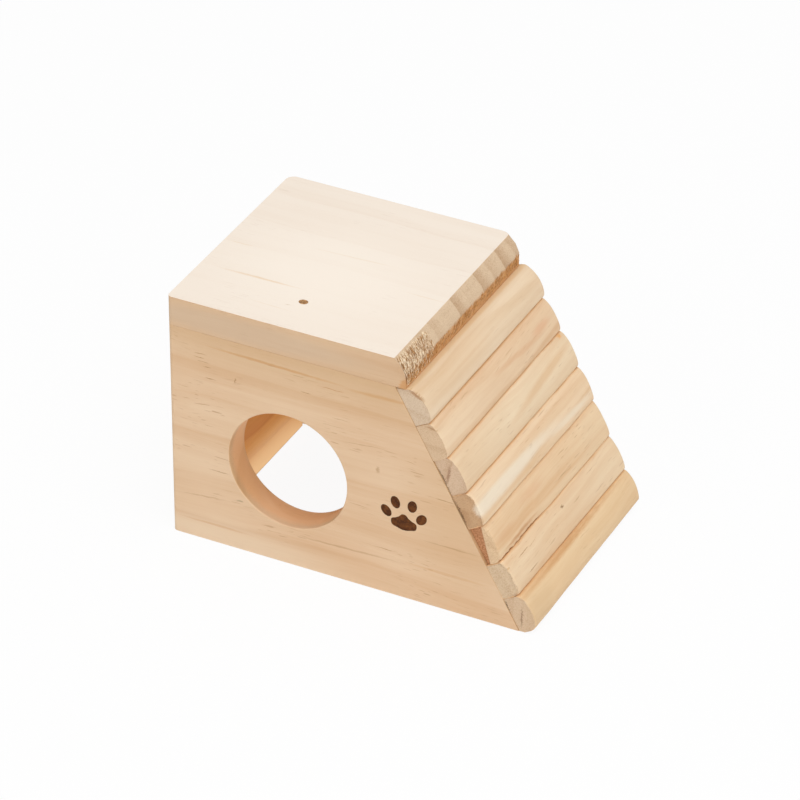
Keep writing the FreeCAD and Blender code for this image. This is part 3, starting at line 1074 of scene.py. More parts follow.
@dataclass
class RoofPlank:
    """The roof board: a bevelled end grain over the ladder, a pin knot and a patch of torn fibres."""

    house: House
    bevel: tuple[tuple[float, float], ...] = ((-3.8, 0.0), (-1.3, -2.6), (0.0, -5.6), (0.0, -10.0))
    arris: float = 0.35
    joint: float = 0.12
    bevel_arris: float = 1.2
    front_corner: float = 1.6
    back_corner: float = 2.8
    eave_corner: float = 2.0
    end_columns: int = 200
    end_rows: int = 7
    end_wear: float = 0.3
    knot_along: float = 38.1
    knot_across: float = 15.3
    knot_radius: float = 1.5
    torn_width: float = 19.0
    torn_strands: int = 520
    fuzz_strands: int = 520
    seed: int = 11

    def build(self, finish: Material, knot: Material) -> None:
        """Build the board with its bevelled end.

        Args:
            finish: the board's pine.
            knot: the dark wood round the pin knot.
        """
        house = self.house
        low, high = (house.left, house.front, house.rise), (house.eave, house.back, house.top)
        plank = Blank.block("roof_plank", low, high)
        for (run, drop), (next_run, next_drop) in zip(self.bevel[:2], self.bevel[1:3]):
            place = (house.eave + run, house.front, house.top + drop)
            plank.saw(place, (drop - next_drop, 0, next_run - run))
        beyond = house.eave + self.bevel[0][0] - TOUCH
        upright = spans(Z, 1.0)
        at_back = all_of(lies_at(Y, house.back), upright)
        plank.ease(60, self.back_corner, 8, all_of(at_back, lies_at(X, house.left)))
        plank.ease(60, self.eave_corner, 8, all_of(at_back, lies_past(X, beyond)))
        plank.ease(60, self.front_corner, 6, all_of(lies_at(Y, house.front), lies_at(X, house.left), upright))
        plank.ease(15, self.bevel_arris, 5, all_of(
            lies_past(X, house.eave - 2.0), spans(Y, 10.0), lies_past(Z, house.rise + 1.0),
            lies_before(Z, house.top - 1.0),
        ))
        plank.ease(60, self.joint, 2, lies_at(Z, house.rise))
        plank.ease(40, self.arris, 3)
        self.roughen(plank, beyond)
        plank.paint(finish)
        pit = Blank.pebble(
            "knot_pit", Vector((house.left + self.knot_along, house.front + self.knot_across, house.top)),
            (self.knot_radius, self.knot_radius * 0.85, 0.45),
        )
        plank.carve(pit.paint(knot))
        plank.finish(Slot.ROOF, "roof_board")

    def roughen(self, plank: Blank, beyond: float) -> None:
        """Divide the bevelled end finely and wear its grain, deeper where the fibres tore.

        Args:
            plank: the board.
            beyond: where its bevel begins, along X.
        """
        house = self.house
        in_end = lies_past(X, beyond + 0.3)
        plank.divide(all_of(spans(Y), square_to(X), square_to(Z), in_end), self.end_columns)
        plank.divide(all_of(in_end, square_to(Y), spans(Z, 1.0)), self.end_rows)
        plank.divide(all_of(in_end, lies_before(Y, house.front + self.torn_width)), 1)
        plank.wear("end_grain", lambda place: (
            rise(place.x, beyond + 0.4, beyond + 1.0) * rise(place.z, house.rise + 0.3, house.rise + 0.8)
            * rise(place.y, house.front + 0.3, house.front + 0.8)
            * rise(-place.y, 0.5 - house.back, self.eave_corner + 0.5 - house.back)
        ), self.end_wear, 0.7)
        plank.wear("torn", lambda place: (
            rise(place.x, beyond + 0.3, beyond + 0.7) * rise(place.z, house.rise + 0.6, house.rise + 1.6)
            * rise(place.y, house.front + 0.2, house.front + 0.6)
            * rise(-place.y, -house.front - self.torn_width, 6.0 - house.front - self.torn_width)
        ), 1.4 * self.end_wear, 0.45, detail=1)

    def pin_knot(self, knot: Material) -> None:
        """Build the small knot that sits in its pit, with a raised rim and a chipped side.

        Args:
            knot: its dark wood.
        """
        house = self.house
        place = (house.left + self.knot_along - 0.15, house.front + self.knot_across, house.top - 0.36)
        middle = Vector(place)
        radii = (self.knot_radius * 0.74, self.knot_radius * 0.66, 0.33)
        bead = Blank.pebble("pin_knot", middle, radii, Euler((0, 0, 0.4)), 10)
        bead.saw(middle + Vector((0.5, 0.1, 0)), (1.0, 0.2, 0.35))
        bead.wear("crown", lambda place: rise(place.z, middle.z, middle.z + 0.2), 0.1, 0.35, "Z")
        bead.paint(knot).finish(Slot.ROOF)

    def torn_fibres(self, *finishes: Material) -> None:
        """Build the strands torn out of the bevel near the entry side, and the fuzz below the bevel.

        Args:
            finishes: those of the raised strands, painted as highlight, of the strands painted as shaded, and
                of the fuzz, whose amber is painted shade.
        """
        house = self.house
        draw = random.Random(self.seed)
        patterns = [
            Blank.pebble(f"strand_{number}", ORIGIN, (1, 1, 1), rings=4).paint(finish)
            for number, finish in enumerate(finishes)
        ]
        strands = []
        steps = list(zip(self.bevel, self.bevel[1:]))
        for number in range(self.torn_strands + self.fuzz_strands):
            torn = number < self.torn_strands
            if torn:
                across = 0.9 + (self.torn_width - 1) * draw.random() ** 1.2
                length = draw.uniform(0.9, 3.0) * (1.2 - 0.6 * across / self.torn_width)
                step = draw.choices(steps, weights=(6, 6, 2))[0]
                # About a third of the torn strands take the painted shade, the rest the painted highlight
                pattern, lean = patterns[draw.random() > 0.64], draw.uniform(-0.1, 0.8)
            else:
                across = draw.uniform(1.6, house.depth - self.eave_corner)
                length = draw.uniform(1.0, 2.8)
                step = steps[-1]
                # A quarter of the fuzz takes the painted shade, the rest the amber
                pattern, lean = patterns[-1 - (draw.random() > 0.75)], draw.uniform(0.5, 1.1)
            (run, drop), (next_run, next_drop) = step
            edge = (length / 2 * math.cos(lean) + 0.15) / math.hypot(next_run - run, next_drop - drop)
            share = draw.uniform(edge if step is steps[0] else 0.1, 0.95 if torn else 0.75)
            middle = Vector((
                house.eave + run + (next_run - run) * share - 0.10, house.front + across,
                house.top + drop + (next_drop - drop) * share - 0.05,
            ))
            turn = Euler((lean, math.atan2(next_run - run, next_drop - drop), 0))
            factors = (draw.uniform(0.05, 0.11), draw.uniform(0.05, 0.15 if torn else 0.10), length / 2)
            strands.append(pattern.copy(middle, turn, factors))
        fibres = strands[0].join(strands[1:]).settle()
        fibres.piece.name = "torn_fibres"
        for pattern in patterns:
            bpy.data.objects.remove(pattern.piece)
        fibres.finish(Slot.ROOF)


@dataclass(frozen=True)
class SlatCut:
    """How one slat was cut and laid, in millimetres up the slope from the floor.

    A real ladder is uneven: the slats differ in width and height and lie a little askew.
    """

    number: int
    top_front: float
    top_back: float
    foot_front: float
    foot_back: float
    crown_front: float
    crown_back: float
    upper: float
    lower: float
    peak: float
    glue: float = 0.1
    inset_front: float = 0.1
    inset_back: float = 0.2
    end_wear: float = 0.12
    ragged: float = 0.3
    end_round: float = 0.5
    torn_shoulder: float = 0.0
    tucked: float = 0.0

    def height(self, share: float) -> float:
        """Give the height at a share of the width, counted down the slope, as a share of the crown.

        Args:
            share: the share of the width.

        Returns:
            The share of the crown's height.
        """
        if share < self.peak:
            side, away = self.upper, 1 - share / self.peak
        else:
            side, away = self.lower, (share - self.peak) / (1 - self.peak)
        return side + (1 - side) * math.sqrt(max(0.0, 1 - away ** 2))

    def crown_at(self, down: float) -> float:
        """Give the height of the front end's arc this far below its upper edge, in millimetres."""
        return self.crown_front * self.height(down / (self.top_front - self.foot_front))


@dataclass
class Ladder:
    """Seven rounded slats, glued side by side across the panels' cut edges."""

    house: House
    gap: float = 0.05
    arris: float = 0.3
    joint: float = 0.12
    columns: int = 27
    rows: int = 10
    lengths: int = 100
    waney: int = 5
    wane_rise: tuple[float, float] = (5.2, 1.5)
    wane_depth: float = 0.7
    chipped: int = 6
    chip_count: int = 14
    seed: int = 6
    # Of each drying crack: up the slope, across, half its length, half its width, and its turn
    cracks: tuple[tuple[float, ...], ...] = (
        (20.2, 11.2, 5.0, 0.09, 0.02), (19.9, 18.0, 4.4, 0.08, 0.06), (19.3, 23.4, 3.4, 0.06, 0.02),
        (14.1, 12.0, 3.4, 0.07, 0.03), (23.0, 18.0, 12.0, 0.16, -0.03),
    )
    cuts: tuple[SlatCut, ...] = (
        SlatCut(1, 84.1, 84.1, 71.9, 71.9, 7.1, 7.2, 0.42, 0.74, 0.6, 0.03, 0.1, 0.3, 0.12, 0.15, tucked=1.1),
        SlatCut(2, 71.9, 71.9, 59.8, 60.0, 6.9, 7.0, 0.68, 0.78, 0.52, 0.03, 0.05, 0.5),
        SlatCut(3, 59.8, 60.0, 47.5, 47.1, 7.3, 7.0, 0.70, 0.79, 0.53, 0.15, 0.3, 0.3),
        SlatCut(4, 47.5, 47.1, 35.9, 35.1, 7.2, 6.9, 0.76, 0.80, 0.48, 0.3, 0.0, 0.4, 0.35, 0.6, 0.8),
        SlatCut(5, 35.9, 35.1, 23.1, 22.5, 6.5, 6.4, 0.76, 0.80, 0.42, 0.15, 0.35, 0.5, 0.15, 0.6, 1.2, 34.0),
        SlatCut(6, 23.1, 22.5, 11.3, 10.4, 7.1, 6.2, 0.72, 0.77, 0.50, 0.03, 0.05, 0.9, 0.3, 0.8, 0.9),
        SlatCut(7, 11.3, 10.4, -0.9, -0.9, 7.8, 6.4, 0.66, 0.60, 0.47, 0.06, 0.15, 1.1, 0.12, 0.3, 0.8),
    )

    def ends(self, cut: SlatCut) -> tuple[float, float]:
        """Give the places along Y of a slat's front and back ends."""
        return self.house.front + cut.inset_front, self.house.back - cut.inset_back

    def blank(self, cut: SlatCut) -> Blank:
        """Shape one slat lying flat, with X down the slope and Z out of it.

        Args:
            cut: how it was cut.

        Returns:
            The slat, still lying flat.
        """
        near, far = self.ends(cut)
        half = self.gap / 2
        slat = Blank.block(f"ladder_slat_{cut.number}", (-1, near, 0), (1, far, 1))
        for across, top, foot, crown in (
            (near, cut.top_front, cut.foot_front, cut.crown_front),
            (far, cut.top_back, cut.foot_back, cut.crown_back),
        ):
            here = lies_at(Y, across)
            slat.move(all_of(here, lies_at(X, -1)), (1 - top + half, 0, 0))
            slat.move(all_of(here, lies_at(X, 1)), (-1 - foot - half, 0, 0))
            slat.move(all_of(here, lies_at(Z, 1)), (0, 0, crown - 1))
            slat.move(all_of(here, lies_at(Z, 0)), (0, 0, cut.glue))
        slat.divide(spans(X, 5), self.columns)
        for column in range(self.columns + 2):
            share = column / (self.columns + 1)
            slat.stretch(self.in_column(cut, share), (1, 1, cut.height(share)), (0, 0, cut.glue))
        if cut.tucked:
            slat.move(all_of(lies_at(X, half - cut.top_front), lies_at(Z, cut.glue)), (-cut.tucked, 0, 0))
        slat.ease(50, cut.end_round, 4, all_of(lies_past(Z, 2.5), square_to(Y), spans(X)))
        slat.ease(50, self.joint, 1, lies_before(Z, 0.5))
        slat.ease(50, self.arris, 2)
        slat.divide(spans(Y, 5), self.lengths)
        slat.divide(spans(Z, 2), self.rows)
        slat.divide(all_of(spans(Y, 0.5), lambda corners: min(c.y for c in corners) < near + 2.0), 3)
        return slat

    def in_column(self, cut: SlatCut, share: float) -> Test:
        """Make a test for a slat's vertices at a share of its width.

        Args:
            cut: how the slat was cut.
            share: the share, counted down the slope.

        Returns:
            The test.
        """
        near, far = self.ends(cut)
        half = self.gap / 2

        def test(corners: Corners) -> bool:
            """Tell whether a vertex lies in the column.

            Args:
                corners: the vertex, in millimetres.

            Returns:
                Whether it does.
            """
            point = corners[0]
            back = (point.y - near) / (far - near)
            top = -(cut.top_front + (cut.top_back - cut.top_front) * back) + half
            foot = -(cut.foot_front + (cut.foot_back - cut.foot_front) * back) - half
            return abs(top + (foot - top) * share - point.x) < TOUCH

        return test

    def weather(self, slat: Blank, cut: SlatCut) -> None:
        """Make the crown a little wavy, the cut ends rough and the front corners ragged.

        Args:
            slat: the slat, lying flat.
            cut: how it was cut.
        """
        near, far = self.ends(cut)
        slat.wear("crown", lambda place: rise(place.z, 4.4, 6.0), 0.5, 11.0, "Z", 1)
        slat.wear(
            "ends", lambda place: 1.0 if min(place.y - near, far - place.y) < 0.03 else 0.0,
            2 * cut.end_wear, 0.7,
        )
        slat.wear(
            "corner", lambda place: rise(place.z, 3.6, 5.0) * rise(-place.y, -near - 1.7, -near - 0.2),
            cut.ragged, 0.55,
        )
        if cut.torn_shoulder:
            slat.wear("shoulder", lambda place: (
                rise(place.x, -cut.foot_front - 2.2, -cut.foot_front - 0.6) * rise(place.z, 3.8, 5.0)
                * rise(-place.y, -near - cut.torn_shoulder, 10.0 - near - cut.torn_shoulder)
            ), 0.9, 1.6)

    def wane(self, cut: SlatCut, wane_painted_shade: Material) -> Blank:
        """Make the shallow wedge that the waney edge of one slat leaves out of its front end.

        Args:
            cut: how the slat was cut.
            wane_painted_shade: finish of the waney face, reddish brown as glue stain and painted shade.

        Returns:
            The wedge to carve with.
        """
        near = self.house.front - 1
        deep = self.ends(cut)[0] + self.wane_depth
        wedge = Blank.block("wane", (-cut.top_front - 1, near, -1), (-cut.foot_front + 1, deep, 1))
        for across, drop in ((near, 0), (deep, 0.5)):
            upper = all_of(lies_at(Z, 1), lies_at(Y, across))
            sides = (lies_before(X, -cut.top_front), lies_past(X, -cut.foot_front))
            for side, height in zip(sides, self.wane_rise):
                wedge.move(all_of(upper, side), (0, 0, height - 1 - drop))
        return wedge.paint(wane_painted_shade)

    def chips(self, cut: SlatCut, torn: Material) -> Blank:
        """Make the small chips broken out of one slat's upper front corner.

        Args:
            cut: how the slat was cut.
            torn: finish of the broken wood.

        Returns:
            The chips to carve with.
        """
        draw = random.Random(self.seed)
        lumps = []
        for number in range(self.chip_count):
            down = 0.8 + 7.5 * draw.random()
            height = cut.crown_at(down) - draw.uniform(0.0, 0.3)
            middle = Vector((down - cut.top_front, self.house.front + draw.uniform(0.0, 1.2), height))
            radii = (draw.uniform(0.2, 0.55), draw.uniform(0.4, 1.2), draw.uniform(0.2, 0.4))
            turn = Euler((0.3, draw.uniform(-0.6, 0.6), 0.2))
            lumps.append(Blank.pebble(f"chip_{number}", middle, radii, turn, 5).paint(torn))
        return lumps[0].join(lumps[1:])

    def crack(self, cut: SlatCut, torn: Material) -> Blank:
        """Make the drying cracks that run along one slat's crown.

        Args:
            cut: how the slat was cut.
            torn: finish of the split wood.

        Returns:
            The cracks to carve with.
        """
        lines = []
        for number, (up, across, long, wide, turn) in enumerate(self.cracks):
            middle = Vector((-up, self.house.front + across, cut.crown_at(cut.top_front - up)))
            line = Blank.pebble(f"crack_{number}", middle, (wide, long, 0.55), Euler((0, 0, turn)), 8)
            lines.append(line.paint(torn))
        return lines[0].join(lines[1:])

    def build(self, finishes: Sequence[Material], wane_painted_shade: Material, torn: Material) -> None:
        """Build the seven slats.

        Args:
            finishes: one pine for each slat, from the roof down.
            wane_painted_shade: finish of the waney face, reddish brown as glue stain and painted shade.
            torn: finish of chips and cracks.
        """
        house = self.house
        for cut, finish in zip(self.cuts, finishes):
            slat = self.blank(cut)
            self.weather(slat, cut)
            slat.paint(finish)
            if cut.number == self.waney:
                # The waney face takes the reddish painted shade with glue stain
                slat.carve(self.wane(cut, wane_painted_shade))
            if cut.number == self.chipped:
                slat.carve(self.chips(cut, torn))
                slat.carve(self.crack(cut, torn))
            slat.seat(Vector((house.foot, 0, 0)), Euler((0, house.slope, 0)))
            if cut.number == len(self.cuts):
                slat.saw(ORIGIN, (0, 0, -1))
            slat.finish(Slot.SLAT, f"slat_{cut.number}", smooth=40.0)


@dataclass
class Studio:
    """A plain pale floor under soft, even light, and the camera at the photograph's angle.

    Angles are degrees and the camera's stand is in millimetres. Places and sizes of the lamps and of
    the floor are in metres, and each softbox has its name, place, side and power in watts.
    """

    azimuth: float = 26.560
    elevation: float = 33.398
    roll: float = 0.175
    stand: tuple[float, float, float] = (543.696, -1094.464, 848.541)
    focal_pixels: float = 4805.131
    frame_pixels: float = 800.0
    ambient: float = 0.55
    floor_glow: float = 0.93
    table_glow: float = 1.0
    table_gap: float = 0.0004
    floor_side: float = 8.0
    floor_drop: float = 0.0001
    aim: tuple[float, float, float] = (0.0, 0.0, 0.04)
    softboxes: tuple[tuple[str, tuple[float, float, float], float, float], ...] = (
        ("overhead_softbox", (0.35, -0.25, 1.15), 0.9, 6.0),
        ("front_fill", (-0.5, -1.1, 0.7), 0.8, 2.4),
        ("right_fill", (1.0, -0.9, 0.6), 0.8, 2.5),
    )

    def camera(self) -> None:
        """Put the camera where the photograph was taken from."""
        lens = bpy.data.cameras.new("photo_camera")
        lens.sensor_width = 36.0
        lens.lens = self.focal_pixels / self.frame_pixels * lens.sensor_width
        lens.clip_start, lens.clip_end = 0.05, 20.0
        camera = bpy.data.objects.new("photo_camera", lens)
        camera.matrix_world = Matrix.Translation(Vector(self.stand) * MM)
        for angle, axis in ((self.azimuth, "Z"), (90 - self.elevation, "X"), (self.roll, "Z")):
            camera.matrix_world = camera.matrix_world @ Matrix.Rotation(math.radians(angle), 4, axis)
        bpy.context.scene.collection.objects.link(camera)
        bpy.context.scene.camera = camera

    @staticmethod
    def seen(add: AddNode) -> Socket:
        """Add what is 1 for rays that show the background: camera, glossy and transmission rays.

        Args:
            add: adds a node to the tree.

        Returns:
            The 1 or 0.
        """
        rays = add("LightPath").node.outputs
        first = add("Math", {0: rays["Is Camera Ray"], 1: rays["Is Glossy Ray"]}, operation="MAXIMUM")
        return add("Math", {0: first, 1: rays["Is Transmission Ray"]}, operation="MAXIMUM")

    def world(self) -> None:
        """Light the scene evenly from all round, over a white background."""
        world = bpy.data.worlds.new("white_studio")
        world.use_nodes = True
        world.node_tree.nodes.clear()
        add = partial(add_node, world.node_tree)
        strength = add("MapRange", {"Value": self.seen(add), "To Min": self.ambient, "To Max": 1.0})
        sky = add("Background", {"Color": (1, 1, 1, 1), "Strength": strength})
        add("OutputWorld", {"Surface": sky})
        bpy.context.scene.world = world

    def lamp(self, name: str, place: Sequence[float], size: float, power: float) -> Piece:
        """Hang a white softbox that faces the house.

        Args:
            name: the lamp's name.
            place: where it hangs.
            size: its side.
            power: its power.

        Returns:
            The lamp.
        """
        light = bpy.data.lights.new(name, "AREA")
        light.shape = "RECTANGLE"
        light.size = light.size_y = size
        light.energy = power
        lamp = bpy.data.objects.new(name, light)
        lamp.location = place
        lamp.rotation_euler = (Vector(self.aim) - Vector(place)).to_track_quat("-Z", "Y").to_euler()
        bpy.context.scene.collection.objects.link(lamp)
        return lamp

    def floor_bounce(self, house: House) -> None:
        """Light the open inside softly from the floor, as a lit white table does, unseen itself.

        Args:
            house: the house to light.
        """
        low, high = house.left + house.wall, house.shoulder
        long, deep = (high - low) * MM, (house.depth - 2 * house.panel) * MM
        power = self.table_glow * math.pi * long * deep
        bounce = self.lamp("table_bounce", ((low + high) / 2 * MM, 0, self.table_gap), long, power)
        bounce.data.size_y = deep
        bounce.rotation_euler = (math.pi, 0, 0)
        bounce.visible_camera = bounce.visible_glossy = False

    def floor(self) -> None:
        """Lay the pale floor, which shows white and keeps the house's soft shadow."""
        place = (0, 0, -self.floor_drop)
        plane = bpy.ops.mesh.primitive_plane_add
        sheet = Blank.added("floor", plane, size=self.floor_side, location=place).settle()
        material, add = new_material("white_floor")
        matt = add("BsdfDiffuse", {"Color": colour("#f4f4f4")})
        glow = add("Emission", {"Color": (1, 1, 1, 1), "Strength": 1.0})
        shown = add("MixShader", {0: self.floor_glow, 1: matt, 2: glow})
        add("OutputMaterial", {"Surface": add("MixShader", {0: self.seen(add), 1: matt, 2: shown})})
        sheet.paint(material)

    def build(self, house: House) -> None:
        """Set up the camera, the light and the floor.

        Args:
            house: the house to light.
        """
        self.camera()
        self.world()
        for softbox in self.softboxes:
            self.lamp(*softbox)
        self.floor_bounce(house)
        self.floor()
        bpy.context.scene.view_settings.view_transform = "Standard"
        log.info("studio: camera, %d softboxes, table bounce and floor", len(self.softboxes))


# Tones of the marks in the grain
RESIN = "#a4703f"
BRUISE = "#b98f66"
WARM = "#cf9c68"
WHITE = "#f3e6d0"


def board_finishes(house: House) -> dict[str, Material]:
    """Make the pine of the four boards and the beech of the dowels.

    Args:
        house: the house.

    Returns:
        The materials by board.
    """
    # Sanded entry side: warm honey pine with thin resin lines; the wall of the hole is painted a pale rosy
    # orange as painted warm bounce light
    entry = PineFinish(
        "pine_entry_panel", Grain.ALONG_HOUSE, pale="#e9ccab", tan="#d0a173", end="#d8b48a", flat=False,
        pith=(60, -34), ring=10.5, ring_depth=0.28, seed=1, streak_depth=0.26, dash_depth=0.45,
        flecks=(
            # Painted warm bounce light: pale orange over the wall of the hole
            Fleck(40.2, 33.7, 52, 52, "#f6bd87", 0.47, 0, 8.1, 6.0, 0.8),
            Fleck(60, 78, 300, 44, "#cfa97d", 0.65, core=0.1),
            Fleck(20, 3, 110, 18, "#f2e0c6", 0.45, core=0.1),
            Fleck(100, 34, 60, 90, "#d5ae82", 0.45, core=0.1),
            Fleck(36, 70.6, 60, 1.3, WARM, 0.75, -1), Fleck(72, 69.8, 30, 1.8, WARM, 0.6, 1.5),
            Fleck(11, 67.6, 5, 0.35, RESIN, 0.8), Fleck(10.5, 66.2, 4.5, 0.3, RESIN, 0.8),
            Fleck(12, 64.9, 5, 0.35, RESIN, 0.75), Fleck(13.2, 63.4, 3.5, 0.3, RESIN, 0.75),
            Fleck(22.8, 61.3, 3, 0.7, RESIN, 0.6, 72), Fleck(14.4, 59.5, 4, 0.35, RESIN, 0.7),
            Fleck(24.7, 75.7, 10, 0.6, "#a0703f", 0.5, -9), Fleck(45, 76.2, 16, 0.5, RESIN, 0.45, 1),
            Fleck(49, 83.3, 3.6, 0.5, RESIN, 0.7), Fleck(60, 79.5, 30, 3, "#e2c19a", 0.5, -1),
            Fleck(46.9, 64.1, 5, 0.35, RESIN, 0.75), Fleck(55.5, 67.9, 10, 0.5, "#b9733f", 0.6),
            Fleck(77.2, 74.1, 1.4, 0.5, RESIN, 0.8), Fleck(35.6, 70.2, 4, 0.4, RESIN, 0.5),
            Fleck(44, 69.2, 6, 0.35, RESIN, 0.4), Fleck(70.7, 43.8, 1.8, 3.2, BRUISE, 0.6),
            Fleck(58.4, 58, 8, 0.4, RESIN, 0.35), Fleck(56, 55, 9, 0.35, RESIN, 0.35),
            Fleck(66, 51.2, 18, 0.5, RESIN, 0.3, 6), Fleck(16.8, 26.5, 10, 0.4, RESIN, 0.6),
            Fleck(23.7, 17.9, 3.2, 0.8, "#8d7a5a", 0.5), Fleck(11, 15.8, 22, 0.7, RESIN, 0.3, 6),
            Fleck(60, 11.8, 44, 0.9, RESIN, 0.35, 2), Fleck(73.2, 15.8, 10.5, 0.35, RESIN, 0.6),
            Fleck(15, 6.3, 34, 1.2, WARM, 0.4), Fleck(93, 39.4, 10, 0.4, RESIN, 0.6),
            Fleck(95, 23, 24, 0.7, RESIN, 0.35), Fleck(94, 13, 36, 1.6, WARM, 0.35),
        ),
    )
    # Sanded back panel: the same honey pine, plainer
    rear = PineFinish(
        "pine_rear_panel", Grain.ALONG_HOUSE, pale="#e9ccaa", tan="#cf9f72", end="#d8b48a", flat=False,
        pith=(24, -30), ring=10.0, ring_depth=0.32, seed=2, dash_depth=0.45,
        flecks=(
            Fleck(30, 58, 70, 1.4, WARM, 0.55, 1, out=79), Fleck(88, 20, 50, 1.6, WARM, 0.45, -2, out=79),
            Fleck(52, 36, 9, 0.5, RESIN, 0.6, 4, out=79), Fleck(20, 12, 12, 0.5, RESIN, 0.5, out=79),
        ),
    )
    # Sanded end wall: close rings that show as bands on the outer side
    wall = PineFinish(
        "pine_closed_end", Grain.ACROSS_HOUSE, pale="#ead0ad", tan="#cf9f70", end="#d3a878",
        pith=(-30, 46), ring=6.0, ring_depth=0.5, seed=3,
    )
    # Its inner side: a deep amber as painted warm bounce light, which shows through the entry hole, and paler
    # near the floor as painted light from the floor
    inner_painted_light = replace(
        wall, name="pine_closed_end_inner_painted_light", pale="#dba052", tan="#bb6e2a", ring_depth=0.6,
        # Painted light from the floor: paler within 15 mm of it
        flecks=(Fleck(0, 0, 400, 400, "#f9d9a6", 0.9, reach=15.5, core=0.2),),
    )
    # Sanded roof: honey on the sides, with rough dark rings on its end grain; its top is painted nearly white
    # as painted light, and the lower band of its end is painted orange as painted shade
    roof = PineFinish(
        "pine_roof_plank", Grain.ALONG_HOUSE, pale="#e0c19d", tan="#cba079", end="#dfc5a5",
        end_ring="#a97f58", pith=(190, 100), ring=7.7, ring_depth=0.4, late=0.3, weakest=0.1, seed=4,
        end_depth=0.6, end_grit=1.3, upper="#f6e9da", dash_depth=0.14,
        flecks=(
            # Painted light: a near-white wash over the top
            Fleck(36, 34, 90, 74, "#fcf1e3", 0.6, 0, 6.0, 85, 0.2),
            Fleck(25, 0, 110, 2, "#ccb59d", 0.4, 0, 5.5, 79.5, 0.4),
            # Painted shade and bounce light: orange over the lower band of the bevelled end, above the first
            # slat
            Fleck(80.8, 40, 8, 200, "#cd945b", 0.8, 0, 5.0, 75, 0.75),
            Fleck(79, 8, 9, 24, "#c2966a", 0.45, 0, 5.0, 81),
            Fleck(20.5, 21.4, 34, 1.3, "#e8c8a2", 0.6, 0.5, 3.0, 85),
            Fleck(5.8, 36.4, 12, 0.6, "#e9cfae", 0.5, 1.5, 3.0, 85),
            Fleck(34.8, 11.9, 3.2, 0.45, "#cdb394", 0.7, 8, 3.0, 85),
            Fleck(70, 34, 18, 0.6, "#eed8bd", 0.5, 0, 3.0, 85),
            Fleck(41, 44.5, 34, 0.8, "#eed8bd", 0.4, 3, 3.0, 85),
            Fleck(30, 9.2, 20, 0.6, "#eed8bd", 0.4, -2, 3.0, 85),
        ),
    )
    # Turned hardwood dowels: fine, close grain, hidden in the joints
    beech = PineFinish(
        "beech_rod", Grain.UPRIGHT, pale="#dcb88c", tan="#c49a6c", end="#cfa878", pith=(0, 0), ring=1.4,
        ring_depth=0.3, seed=20,
    )
    finishes = {"entry": entry, "rear": rear, "wall": wall, "inner_painted_light": inner_painted_light, "roof": roof, "beech": beech}
    return {name: finish.make(house) for name, finish in finishes.items()}


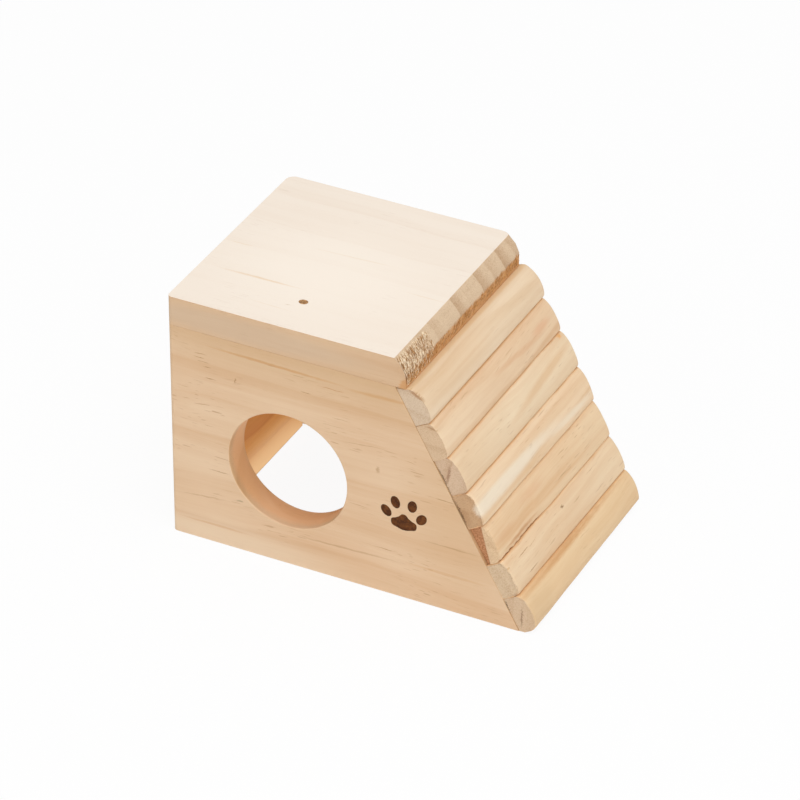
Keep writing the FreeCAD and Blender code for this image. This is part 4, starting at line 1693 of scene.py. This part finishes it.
def slat_finishes(house: House) -> list[Material]:
    """Make one pine for each slat, each cut from another stick.

    Args:
        house: the house.

    Returns:
        The materials from the roof down.
    """
    # Marks along a slat's crown, and marks on its front end; each stick has its pale tone, its tan,
    # its end grain's tone and grit, its pith and its marks
    crown = partial(Fleck, reach=3.0, out=7.0)
    on_end = partial(Fleck, -0.3, length=3.0)
    sticks = (
        # Pale, with one long tan stripe under the roof
        ("#ecd4b5", "#d8b389", "#d8c1a6", 1.3, (-20, -40), (
            crown(-30, -78, 60, 1.5, "#dcb68c", 0.35), crown(-22, -78, 64, 15, "#dfbb92", 0.4),
            on_end(-81.2, width=9.0, tone="#ae7a4a", strength=0.7, reach=0.8, out=5.5, tilt=31),
        )),
        # Honey, with two rosy stripes that run out to the back
        ("#edd2b0", "#d8ae84", "#d8ba98", 1.3, (10, -60), (
            on_end(-70, width=4.5, tone="#a9794e", strength=0.6, reach=0.6, out=4.9, tilt=46),
            crown(-52, -66, 50, 2.8, "#d9a67c", 0.4, -4.8), crown(-68.5, -66.4, 16, 4, "#dfa27a", 0.4),
            crown(-20, -70, 8, 0.5, RESIN, 0.3),
        )),
        # Pale, with a broad tan stripe, an amber spot and a dark seat at its front end
        ("#eed7b6", "#dcb68c", "#d4b79a", 1.3, (-90, -30), (
            crown(-58, -54, 62, 4.4, "#dcb080", 0.55, 5), crown(-76, -59.3, 3.4, 2.4, "#e8a552", 0.8),
            on_end(-54.4, width=9.4, tone="#8f5f40", strength=0.65, reach=0.7, out=2.6, tilt=-36.7),
            on_end(-52.5, width=13, tone="#5d4128", strength=0.75, reach=0.35, out=0.3),
        )),
        # Sapwood, nearly white along the crown
        ("#f0d5b3", "#dcb282", "#c69f78", 2.2, (40, -50), (
            crown(-14, -40.8, 100, 6.4, WHITE, 0.75, core=0.4), crown(-62, -38.4, 50, 3.6, WHITE, 0.5, -3),
            crown(-55, -44.5, 70, 2.6, "#dcb083", 0.4),
            on_end(-40, width=9, tone="#b1855c", strength=0.5, out=1),
            on_end(-41.7, width=13, tone="#5d4128", strength=0.8, reach=0.4, out=0.45),
        )),
        # Honey, with a dark resin stripe to the front and rosy bands
        ("#edd2ad", "#d9aa7a", "#dfc09a", 1.4, (-70, 50), (
            crown(-16, -24.9, 30, 2.2, "#bf7a40", 0.7), crown(-28, -31.5, 24, 5, "#dfae85", 0.4),
            crown(-46, -26.8, 13, 0.7, RESIN, 0.45), crown(-8, -29, 18, 4, "#d9a87c", 0.4),
        )),
        # Honey, with short resin lines and a brown spot
        ("#edd3b0", "#d9ad80", "#d8bf9f", 1.6, (-10, -30), (
            crown(-38.2, -19.9, 2.4, 1.3, "#8a6238", 0.9), crown(-67, -22.2, 22, 1.8, "#d99c5c", 0.6),
            crown(-60, -20.3, 8, 0.5, RESIN, 0.4), crown(-46.5, -17.5, 6, 0.7, RESIN, 0.4),
            crown(-12, -14, 10, 0.5, RESIN, 0.45), crown(-60, -13.8, 9, 0.4, RESIN, 0.35),
            crown(-20, -24, 22, 0.9, "#b06f3a", 0.6, -1),
        )),
        # The deepest tone, with a brown stripe all along
        ("#ebcda4", "#dbb180", "#d6bb9d", 1.3, (-50, -70), (
            crown(-40, -9.9, 120, 3.2, "#c78a4a", 0.75, core=0.1), crown(-6, -4, 26, 14, "#d6b68c", 0.4),
            on_end(-4, width=9.4, tone="#855c40", strength=0.65, reach=0.5, out=3, tilt=-28.9),
            on_end(-8.8, width=5, tone="#4d3826", strength=0.8, reach=0.4, out=0.2),
        )),
    )
    return [
        PineFinish(
            f"pine_slat_{number}", Grain.ACROSS_LADDER, pale=pale, tan=tan, end=end, end_ring="#a87a50",
            end_depth=0.25, end_grit=grit, pith=pith, ring=7.0, ring_depth=0.35, streak_depth=0.5,
            fibre_depth=0.22, blotch_depth=0.42, seed=10 + number,
            # Painted groove shade on the slats' sides, paler on the first slat under the roof
            flank_shade="#e2b583" if number > 1 else "#e6c598", flecks=flecks,
        ).make(house)
        for number, (pale, tan, end, grit, pith, flecks) in enumerate(sticks, start=1)
    ]


def main() -> None:
    """Dress the house and set up the studio."""
    logging.basicConfig(level=logging.INFO, format="%(message)s")
    house = House.measured()
    slope = math.degrees(house.slope)
    log.info("house: slope %.1f degrees, %.1f mm deep, %.1f mm high", slope, house.depth, house.top)
    boards = board_finishes(house)
    slats = slat_finishes(house)
    # Pine burnt by a hot stamp: dark brown and matt, paler where it burnt less
    char = MottledWood(
        "charred_pine", "#74441f", "#4d2a14", 0.6, 3.0, (0.17, 0.36), broad=3.6, relief=(0.5, 0.05),
        roughness=0.85,
    ).make()
    # Weathered brown of the pin knot
    knot = MottledWood("pin_knot_wood", "#c99a68", "#8c6a48", 0.8).make()
    # Broken pine in chips and cracks: tan, rough and a little dark
    torn = MottledWood("torn_pine", "#e6c296", "#b07a4c").make()
    # Raised torn strands: painted highlight, nearly white
    torn_light = MottledWood("torn_pine_painted_highlight", "#f8e8ce", "#e3c49b").make()
    # Strands in the shade of others: painted shade, brown
    torn_painted_shade = MottledWood("torn_pine_painted_shade", "#c4986a", "#a0754b").make()
    # Fuzz under the bevel: warm amber, painted shade and bounce light of the end's lower band
    fuzz = MottledWood("torn_pine_amber_painted_shade", "#d9a76e", "#ae763f", 0.8).make()
    # Waney edge: reddish brown, partly glue stain and partly painted shade of the shallow recess
    wane_painted_shade = MottledWood("waney_pine_painted_shade", "#cf9a70", "#a8704b", 0.6).make()
    for node in ("roof_dowels", "end_wall_dowels"):
        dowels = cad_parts[node].data.materials
        dowels.clear()
        dowels.append(boards["beech"])
        log.info("%s: the solids themselves, in beech", node)
    panels = SidePanels(house)
    panels.front(boards["entry"], char)
    panels.rear(boards["rear"])
    ClosedEnd(house).build(boards["wall"], boards["inner_painted_light"])
    roof = RoofPlank(house)
    roof.build(boards["roof"], knot)
    roof.pin_knot(knot)
    roof.torn_fibres(torn_light, torn_painted_shade, fuzz)
    Ladder(house).build(slats, wane_painted_shade, torn)
    Studio().build(house)


if __name__ == "__main__":
    main()
